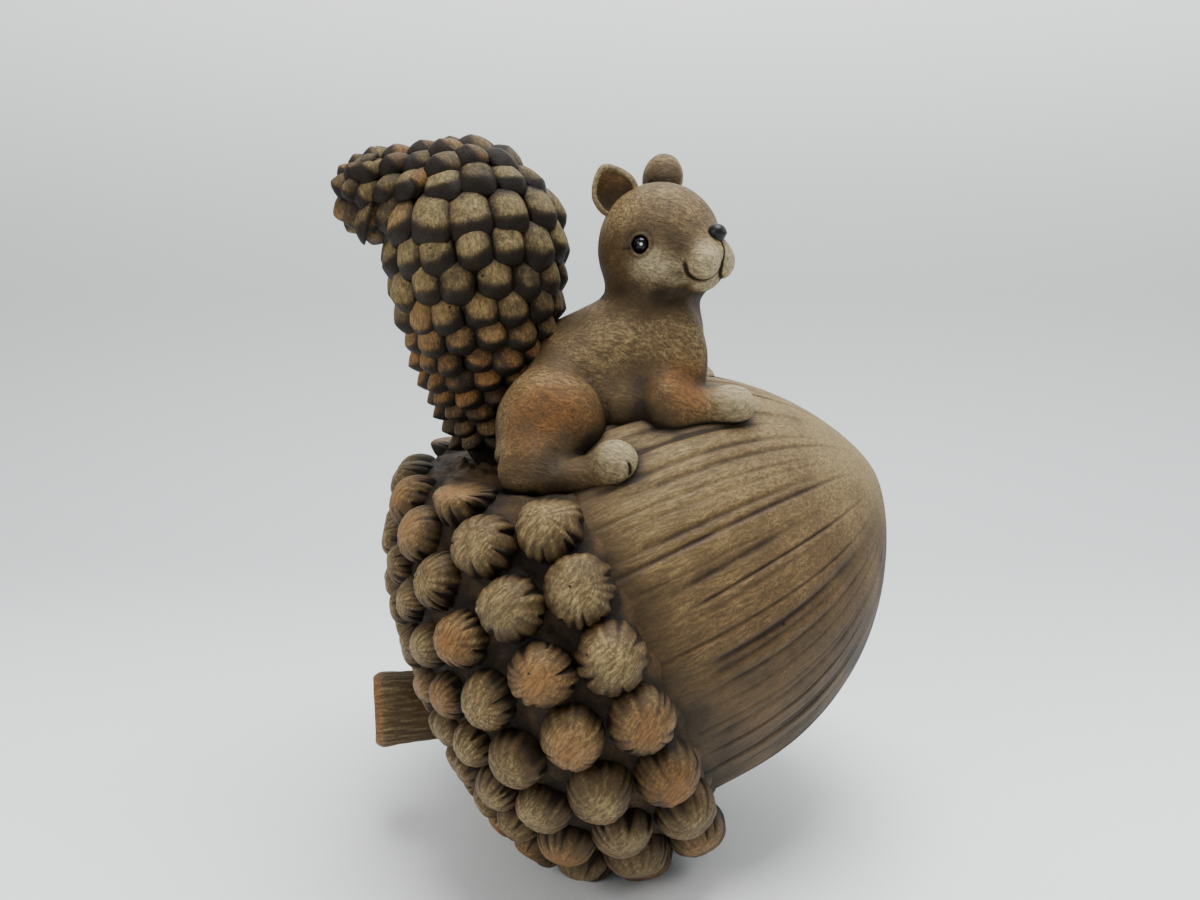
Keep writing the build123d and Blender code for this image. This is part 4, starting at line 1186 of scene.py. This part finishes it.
def make_beads(squirrel):
    """The two eyes, which are balls, and the nose, a ball that narrows to its lower end."""
    middle, forward, right = head_frame()
    radius = squirrel.eye_radius
    for side, word in SIDES:
        eye = eye_centre(side)
        out = unit(eye - middle)
        # Painted highlight: a small white reflection on each eye, on the side towards the camera
        glint = eye + radius * unit(out + 0.38 * forward + 0.12 * UP)
        make_bead(f"eye_{word}", "eye", eye, out, ball(eye, radius), 2 * radius, glint)
    nose = on_head(34.0, 0, 3.4)

    def teardrop(points):
        local = points - nose
        rise = local @ UP
        width = squirrel.nose_radius * (1 - 0.5 * np.clip(-rise / (6 * MM), 0, 1))
        across = np.hypot(local @ right, (local @ forward) * 0.95) / width
        tall = np.where(rise > 0, squirrel.nose_radius, 5.6 * MM)
        return (np.hypot(across, rise / tall) - 1) * 3.0 * MM

    # No painted highlight shows on the nose: its glint is put inside, out of sight
    out_of_sight = nose - forward
    make_bead("nose", "nose", nose, forward, teardrop, 8 * MM, out_of_sight)


# Shader node groups


def new_group(name, inputs, outputs):
    """A shader node group with named sockets. Returns the tree and its input and output nodes."""
    tree = bpy.data.node_groups.new(name, "ShaderNodeTree")
    for socket, kind, value in inputs:
        made = tree.interface.new_socket(socket, in_out="INPUT", socket_type=kind)
        if value is not None:
            made.default_value = value
    for socket, kind in outputs:
        tree.interface.new_socket(socket, in_out="OUTPUT", socket_type=kind)
    return tree, tree.nodes.new("NodeGroupInput"), tree.nodes.new("NodeGroupOutput")


def math_node(tree, operation, first, second):
    """A math node whose inputs are sockets or numbers."""
    node = tree.nodes.new("ShaderNodeMath")
    node.operation = operation
    for index, value in enumerate((first, second)):
        if isinstance(value, (int, float)):
            node.inputs[index].default_value = value
        else:
            tree.links.new(value, node.inputs[index])
    return node.outputs[0]


def mix_color(tree, factor, first, second):
    """A colour mix whose factor and colours are sockets, numbers or colours."""
    node = tree.nodes.new("ShaderNodeMix")
    node.data_type = "RGBA"
    node.clamp_factor = True
    given = ((node.inputs["Factor"], factor), (node.inputs[6], first), (node.inputs[7], second))
    for socket, value in given:
        if isinstance(value, (int, float)):
            socket.default_value = value
        elif isinstance(value, tuple):
            socket.default_value = (*value, 1.0)
        else:
            tree.links.new(value, socket)
    return node.outputs[2]


def ramp(tree, value, low, high):
    """A smooth step from 0 at low to 1 at high."""
    node = tree.nodes.new("ShaderNodeMapRange")
    node.interpolation_type = "SMOOTHSTEP"
    tree.links.new(value, node.inputs["Value"])
    node.inputs["From Min"].default_value = low
    node.inputs["From Max"].default_value = high
    return node.outputs["Result"]


def noise_node(tree, position, scale, detail_level=4.0, roughness=0.6):
    """Noise from 0 to 1 at a position."""
    node = tree.nodes.new("ShaderNodeTexNoise")
    node.inputs["Scale"].default_value = scale
    node.inputs["Detail"].default_value = detail_level
    node.inputs["Roughness"].default_value = roughness
    tree.links.new(position, node.inputs["Vector"])
    return node.outputs["Fac"]


def strokes_group():
    """Short brush strokes: noise drawn out along X of the position, from 0 to 1, a little bent."""
    tree, given, result = new_group(
        "Brush strokes",
        [("Position", "NodeSocketVector", None), ("Length", "NodeSocketFloat", 6.0)],
        [("Strokes", "NodeSocketFloat")],
    )
    scale = tree.nodes.new("ShaderNodeVectorMath")
    scale.operation = "MULTIPLY"
    join = tree.nodes.new("ShaderNodeCombineXYZ")
    tree.links.new(math_node(tree, "DIVIDE", 1.0, given.outputs["Length"]), join.inputs["X"])
    join.inputs["Y"].default_value = 1.0
    join.inputs["Z"].default_value = 1.0
    warp = tree.nodes.new("ShaderNodeTexNoise")
    warp.inputs["Scale"].default_value = 55.0
    tree.links.new(given.outputs["Position"], warp.inputs["Vector"])
    bend = tree.nodes.new("ShaderNodeVectorMath")
    bend.operation = "MULTIPLY_ADD"
    tree.links.new(warp.outputs["Color"], bend.inputs[0])
    bend.inputs[1].default_value = (6 * MM, 6 * MM, 6 * MM)
    tree.links.new(given.outputs["Position"], bend.inputs[2])
    tree.links.new(bend.outputs[0], scale.inputs[0])
    tree.links.new(join.outputs[0], scale.inputs[1])
    coarse = noise_node(tree, scale.outputs[0], 800.0, 3.0, 0.65)
    fine = noise_node(tree, scale.outputs[0], 2600.0, 2.0, 0.6)
    coarse = math_node(tree, "MULTIPLY", coarse, 0.65)
    both = math_node(tree, "ADD", coarse, math_node(tree, "MULTIPLY", fine, 0.35))
    tree.links.new(ramp(tree, both, 0.36, 0.66), result.inputs["Strokes"])
    return tree


def pinholes_group():
    """Sparse round casting pinholes: a mask that is 1 in a hole."""
    tree, given, result = new_group(
        "Casting pinholes",
        [("Position", "NodeSocketVector", None), ("Scale", "NodeSocketFloat", 130.0)],
        [("Holes", "NodeSocketFloat")],
    )
    cells = tree.nodes.new("ShaderNodeTexVoronoi")
    tree.links.new(given.outputs["Position"], cells.inputs["Vector"])
    tree.links.new(given.outputs["Scale"], cells.inputs["Scale"])
    parts = tree.nodes.new("ShaderNodeSeparateColor")
    tree.links.new(cells.outputs["Color"], parts.inputs[0])
    chosen = ramp(tree, parts.outputs[0], 0.78, 0.8)
    small = math_node(tree, "SUBTRACT", 1.0, ramp(tree, cells.outputs["Distance"], 0.05, 0.1))
    tree.links.new(math_node(tree, "MULTIPLY", chosen, small), result.inputs["Holes"])
    return tree


def aged_paint_and_shade_group():
    """The figurine's paint: umber in the hollows and in painted shade, brown on the slopes and tan
    brushed over the high spots, with rust and cream, and painted highlights, where the masks say."""
    colors = {
        "Hollow": (0.010, 0.006, 0.003),
        "Ground": (0.078, 0.047, 0.018),
        "Brushed": (0.36, 0.255, 0.110),
        "Rust color": (0.23, 0.082, 0.014),
        "Cream": (0.50, 0.42, 0.25),
    }
    shares = ("Relief", "Rust", "Pale", "Strokes", "Holes")
    tree, given, result = new_group(
        "Aged paint and painted shade",
        [("Position", "NodeSocketVector", None)]
        + [(name, "NodeSocketFloat", 0.0) for name in shares]
        + [(name, "NodeSocketColor", (*value, 1.0)) for name, value in colors.items()],
        [("Color", "NodeSocketColor"), ("Roughness", "NodeSocketFloat"), ("Height", "NodeSocketFloat")],
    )

    def plus(first, second):
        return math_node(tree, "ADD", first, second)

    def minus(first, second):
        return math_node(tree, "SUBTRACT", first, second)

    def times(first, second):
        return math_node(tree, "MULTIPLY", first, second)

    sockets = given.outputs
    strokes = sockets["Strokes"]
    cloud = noise_node(tree, sockets["Position"], 45.0, 4.0, 0.6)
    grain = noise_node(tree, sockets["Position"], 900.0, 3.0, 0.7)
    patchy = plus(sockets["Relief"], times(minus(cloud, 0.5), 0.95))
    speckled = plus(patchy, times(minus(grain, 0.5), 0.75))
    # Umber where the mask marks hollows and painted shade, brown elsewhere
    color = mix_color(tree, ramp(tree, patchy, 0.08, 0.55), sockets["Hollow"], sockets["Ground"])
    # Coats over the ground: where each lies, the least of it between strokes, and its colour
    coats = (
        (ramp(tree, speckled, 0.5, 1.25), 0.15, "Brushed"),
        (times(sockets["Rust"], ramp(tree, speckled, 0.3, 0.85)), 0.5, "Rust color"),
        (times(sockets["Pale"], ramp(tree, speckled, 0.25, 0.8)), 0.6, "Cream"),
    )
    for lies, least, paint in coats:
        covered = times(lies, plus(least, times(strokes, 1 - least)))
        color = mix_color(tree, covered, color, sockets[paint])
    color = mix_color(tree, times(minus(1.0, strokes), 0.42), color, sockets["Hollow"])
    color = mix_color(tree, sockets["Holes"], color, (0.008, 0.006, 0.005))
    tree.links.new(color, result.inputs["Color"])
    tree.links.new(minus(0.72, times(grain, 0.25)), result.inputs["Roughness"])
    raised = plus(times(strokes, 0.5), times(grain, 0.4))
    tree.links.new(minus(raised, times(sockets["Holes"], 2.5)), result.inputs["Height"])
    return tree


def group_named(name, maker):
    """A shader group, made the first time that a material asks for it."""
    return bpy.data.node_groups.get(name) or maker()


# Materials


def new_material(name):
    """A new material, its node tree, its shader and the socket of the position in metres."""
    material = bpy.data.materials.new(name)
    material.use_nodes = True
    tree = material.node_tree
    place = tree.nodes.new("ShaderNodeTexCoord")
    return material, tree, tree.nodes["Principled BSDF"], place.outputs["Object"]


def painted_material(name, turn=(0.0, 0.0, 0.0), stroke_length=5.0, bump=0.35, holes=130.0, **colors):
    """Aged paint on one kind of piece. Turn lays the brush strokes along X of the turned frame."""
    material, tree, shader, position = new_material(name)
    turned = tree.nodes.new("ShaderNodeMapping")
    turned.inputs["Rotation"].default_value = turn
    tree.links.new(position, turned.inputs["Vector"])
    paint, strokes, pinholes = (tree.nodes.new("ShaderNodeGroup") for _ in range(3))
    paint.node_tree = group_named("Aged paint and painted shade", aged_paint_and_shade_group)
    strokes.node_tree = group_named("Brush strokes", strokes_group)
    pinholes.node_tree = group_named("Casting pinholes", pinholes_group)
    for node in (paint, pinholes):
        tree.links.new(position, node.inputs["Position"])
    tree.links.new(turned.outputs["Vector"], strokes.inputs["Position"])
    strokes.inputs["Length"].default_value = stroke_length
    pinholes.inputs["Scale"].default_value = holes
    tree.links.new(strokes.outputs["Strokes"], paint.inputs["Strokes"])
    tree.links.new(pinholes.outputs["Holes"], paint.inputs["Holes"])
    for mask in MASKS:
        layer = tree.nodes.new("ShaderNodeAttribute")
        layer.attribute_name = mask
        tree.links.new(layer.outputs["Fac"], paint.inputs[mask.capitalize()])
    for socket, value in colors.items():
        paint.inputs[socket.replace("_", " ").capitalize()].default_value = (*value, 1.0)
    tree.links.new(paint.outputs["Color"], shader.inputs["Base Color"])
    tree.links.new(paint.outputs["Roughness"], shader.inputs["Roughness"])
    shader.inputs["Specular IOR Level"].default_value = 0.2
    surface = tree.nodes.new("ShaderNodeBump")
    surface.inputs["Distance"].default_value = 0.6 * MM
    surface.inputs["Strength"].default_value = bump
    tree.links.new(paint.outputs["Height"], surface.inputs["Height"])
    tree.links.new(surface.outputs["Normal"], shader.inputs["Normal"])
    return material


def bead_material(name, color, roughness):
    """A black bead, with a painted white highlight where its highlight mask says."""
    material, tree, shader, position = new_material(name)
    smudge = noise_node(tree, position, 300.0)
    painted_glint = tree.nodes.new("ShaderNodeAttribute")
    painted_glint.attribute_name = "pale"
    black = mix_color(tree, smudge, tuple(c * 0.5 for c in color), color)
    # Painted highlight in white over the black
    dotted = mix_color(tree, painted_glint.outputs["Fac"], black, (0.95, 0.95, 0.95))
    tree.links.new(dotted, shader.inputs["Base Color"])
    rough = math_node(tree, "ADD", roughness, math_node(tree, "MULTIPLY", smudge, 0.08))
    tree.links.new(rough, shader.inputs["Roughness"])
    shader.inputs["Specular IOR Level"].default_value = 0.22
    return material


# Paints: name, turn and length of the strokes, bump, how close the pinholes are, and colours that
# differ from the aged paint's own
PAINTS = {
    "nut": {
        "name": "Nut paint", "turn": (0, np.radians(24), np.radians(-9)), "stroke_length": 9.0,
        "bump": 0.3, "holes": 60.0, "hollow": (0.020, 0.013, 0.006), "ground": (0.095, 0.060, 0.026),
        "brushed": (0.33, 0.24, 0.105), "cream": (0.46, 0.37, 0.16),
    },
    "cup": {"name": "Cup paint", "stroke_length": 2.0, "bump": 0.8, "ground": (0.085, 0.050, 0.020)},
    "knobs": {"name": "Knob paint", "turn": (0.4, 0.9, 0.3), "brushed": (0.34, 0.245, 0.1)},
    "stem": {
        "name": "Stem paint", "turn": (0, 0, np.radians(-13)), "stroke_length": 14.0,
        "bump": 0.6, "brushed": (0.33, 0.25, 0.13),
    },
    "scales": {
        "name": "Scale paint", "turn": (0, np.radians(90), 0), "stroke_length": 3.0, "bump": 0.7,
        "ground": (0.034, 0.020, 0.007), "brushed": (0.28, 0.190, 0.062), "cream": (0.40, 0.31, 0.14),
    },
    "tail_core": {"name": "Tail core paint", "stroke_length": 1.5, "bump": 0.9},
    "fur": {
        "name": "Fur paint", "turn": (0, np.radians(-20), 0), "stroke_length": 3.0,
        "bump": 0.6, "holes": 70.0,
    },
    "paw": {"name": "Paw paint", "stroke_length": 4.0, "holes": 70.0},
}
BEADS = {
    "eye": {"name": "Eye gloss", "color": (0.004, 0.004, 0.005), "roughness": 0.08},
    "nose": {"name": "Nose satin", "color": (0.010, 0.010, 0.012), "roughness": 0.32},
}
made_materials = {}


def material_of(name):
    """The named material, made the first time that a piece asks for it."""
    if name not in made_materials:
        paint = PAINTS.get(name)
        made_materials[name] = painted_material(**paint) if paint else bead_material(**BEADS[name])
    return made_materials[name]


# The stage

# Soft square lights: place and width in metres, power in watts and colour
LIGHTS = {
    "top_light": ((0.1, -0.1, 1.5), 0.8, 30.0, (1.0, 1.0, 1.0)),
    "left_light": ((-1.2, -0.9, 0.9), 0.8, 11.0, (1.0, 0.98, 0.95)),
    "right_light": ((1.1, 0.1, 0.9), 0.7, 6.0, (1.0, 1.0, 1.0)),
}
LIGHT_AIM = (0.0, 0.0, 0.15)
# Paper in front, and where painted shade darkens it behind the figurine and towards the horizon
# and painted light brightens it above: along which way, from and to in metres, and into what
PAPER_NEAR = (0.93, 0.95, 0.95)
PAPER_LIGHT_AND_SHADE = (
    ("Y", -0.15, 0.5, (0.66, 0.68, 0.69)),
    ("Z", 0.0, 0.25, (0.58, 0.595, 0.595)),
    ("Z", 0.25, 0.7, (0.93, 0.95, 0.94)),
)


def make_backdrop():
    """A near-white sweep: a floor that curves up into a wall, as a grid along one profile, with
    painted shade that darkens the paper behind the figurine and up to the horizon, and painted light
    that brightens it above."""
    rows, columns = 60, 3
    half_width, front, behind, radius, wall = 3.0, -2.2, 0.42, 0.25, 2.6
    trip = np.linspace(0, 1, rows)
    bend = np.clip((trip - 0.55) / 0.2, 0, 1) * np.pi / 2
    y = front + (behind - front) * np.clip(trip / 0.55, 0, 1) + radius * np.sin(bend)
    z = radius * (1 - np.cos(bend)) + wall * np.clip((trip - 0.75) / 0.25, 0, 1)
    across = np.linspace(-half_width, half_width, columns)
    points = np.stack(np.broadcast_arrays(across, y[:, None], z[:, None]), -1)
    row, column = np.meshgrid(np.arange(rows - 1), np.arange(columns - 1), indexing="ij")
    first = (row * columns + column).ravel()
    faces = np.stack([first, first + 1, first + columns + 1, first + columns], -1)
    mesh = smooth_mesh("backdrop", points, faces.tolist())
    material, tree, shader, position = new_material("Backdrop paper")
    parts = tree.nodes.new("ShaderNodeSeparateXYZ")
    tree.links.new(position, parts.inputs[0])
    paper = PAPER_NEAR
    # Painted shade and light over the paper
    for way, low, high, color in PAPER_LIGHT_AND_SHADE:
        paper = mix_color(tree, ramp(tree, parts.outputs[way], low, high), paper, color)
    tree.links.new(paper, shader.inputs["Base Color"])
    shader.inputs["Roughness"].default_value = 0.8
    mesh.materials.append(material)
    backdrop = in_scene("backdrop", mesh)


def add_light(name, place, width, power, color):
    """A soft square area light at a place, turned towards the figurine."""
    light = bpy.data.lights.new(name, "AREA")
    light.shape = "SQUARE"
    light.size = width
    light.energy = power
    light.color = color
    lamp = in_scene(name, light)
    lamp.location = place
    lamp.rotation_mode = "QUATERNION"
    lamp.rotation_quaternion = (Vector(LIGHT_AIM) - Vector(place)).to_track_quat("-Z", "Y")


def make_stage(stage):
    """The backdrop, the camera at the photograph's place, three soft lights and a whitish sky."""
    make_backdrop()
    camera = in_scene("camera", bpy.data.cameras.new("camera"))
    back = Vector((0, -np.cos(stage.elevation), np.sin(stage.elevation)))
    camera.location = Vector(stage.look_at) + back * stage.distance
    camera.rotation_mode = "QUATERNION"
    camera.rotation_quaternion = (-back).to_track_quat("-Z", "Y")
    camera.data.lens = stage.lens
    camera.data.sensor_width = 36.0
    camera.data.clip_start = 0.01
    bpy.context.scene.camera = camera
    for name, light in LIGHTS.items():
        add_light(name, *light)
    world = bpy.data.worlds.new("studio")
    world.use_nodes = True
    sky = world.node_tree.nodes["Background"]
    sky.inputs["Color"].default_value = (0.93, 0.96, 1.0, 1.0)
    sky.inputs["Strength"].default_value = 0.38
    bpy.context.scene.world = world


# Operators and panel


class FIGURINE_OT_nut(bpy.types.Operator):
    """Build the grooved nut"""

    bl_idname = "figurine.nut"
    bl_label = "Nut"

    def execute(self, context):
        make_nut(settings().acorn)
        return {"FINISHED"}


class FIGURINE_OT_cup(bpy.types.Operator):
    """Build the cup between its knobs"""

    bl_idname = "figurine.cup"
    bl_label = "Cup"

    def execute(self, context):
        make_cup(settings().acorn)
        return {"FINISHED"}


class FIGURINE_OT_knobs(bpy.types.Operator):
    """Build the rows of knobs on the cup"""

    bl_idname = "figurine.knobs"
    bl_label = "Knobs"

    def execute(self, context):
        for row in range(len(KNOB_ROWS)):
            make_knob_row(row, settings().acorn)
        return {"FINISHED"}


class FIGURINE_OT_stem(bpy.types.Operator):
    """Build the stem"""

    bl_idname = "figurine.stem"
    bl_label = "Stem"

    def execute(self, context):
        make_stem(settings().acorn)
        return {"FINISHED"}


class FIGURINE_OT_tail(bpy.types.Operator):
    """Build the tail's core, its rows of scales and its curled tip"""

    bl_idname = "figurine.tail"
    bl_label = "Tail"

    def execute(self, context):
        tail = settings().tail
        make_tail_core(tail)
        for row in range(len(SCALE_ROWS) - 1):
            make_scale_row(row, tail)
        make_tip_rows(tail)
        return {"FINISHED"}


class FIGURINE_OT_body(bpy.types.Operator):
    """Build the squirrel's body and legs"""

    bl_idname = "figurine.body"
    bl_label = "Body and legs"

    def execute(self, context):
        make_body()
        for side, word in SIDES:
            make_limbs(side, word)
        return {"FINISHED"}


class FIGURINE_OT_head(bpy.types.Operator):
    """Build the head, the ears, the eyes and the nose"""

    bl_idname = "figurine.head"
    bl_label = "Head"

    def execute(self, context):
        squirrel = settings().squirrel
        make_head()
        make_beads(squirrel)
        for side, word in SIDES:
            make_ear(side, word, squirrel)
        return {"FINISHED"}


class FIGURINE_OT_stage(bpy.types.Operator):
    """Set up the backdrop, the camera and the lights"""

    bl_idname = "figurine.stage"
    bl_label = "Stage"

    def execute(self, context):
        make_stage(settings().stage)
        return {"FINISHED"}


OPERATORS = (
    FIGURINE_OT_nut, FIGURINE_OT_cup, FIGURINE_OT_knobs, FIGURINE_OT_stem,
    FIGURINE_OT_tail, FIGURINE_OT_body, FIGURINE_OT_head, FIGURINE_OT_stage,
)


class FIGURINE_PT_panel(bpy.types.Panel):
    """The sidebar's sizes and buttons."""

    bl_label = "Squirrel Figurine"
    bl_idname = "FIGURINE_PT_panel"
    bl_space_type = "VIEW_3D"
    bl_region_type = "UI"
    bl_category = "Figurine"

    def draw(self, context):
        chosen = context.scene.squirrel_figurine
        for group in (chosen.acorn, chosen.tail, chosen.squirrel, chosen.stage):
            box = self.layout.box()
            for name in group.__annotations__:
                box.prop(group, name)
        for operator in OPERATORS:
            self.layout.operator(operator.bl_idname)


CLASSES = (
    AcornSizes, TailSizes, SquirrelSizes, StageSettings, FigurineSettings, *OPERATORS, FIGURINE_PT_panel,
)


def register():
    """Adds the panel, the operators and the settings."""
    for made in CLASSES:
        bpy.utils.register_class(made)
    bpy.types.Scene.squirrel_figurine = PointerProperty(type=FigurineSettings)


def unregister():
    """Takes away what register added."""
    del bpy.types.Scene.squirrel_figurine
    for made in reversed(CLASSES):
        bpy.utils.unregister_class(made)


def main():
    """Builds every piece and the stage."""
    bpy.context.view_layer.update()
    register()
    for operator in OPERATORS:
        group, name = operator.bl_idname.split(".")
        getattr(getattr(bpy.ops, group), name)()


if __name__ == "__main__":
    main()
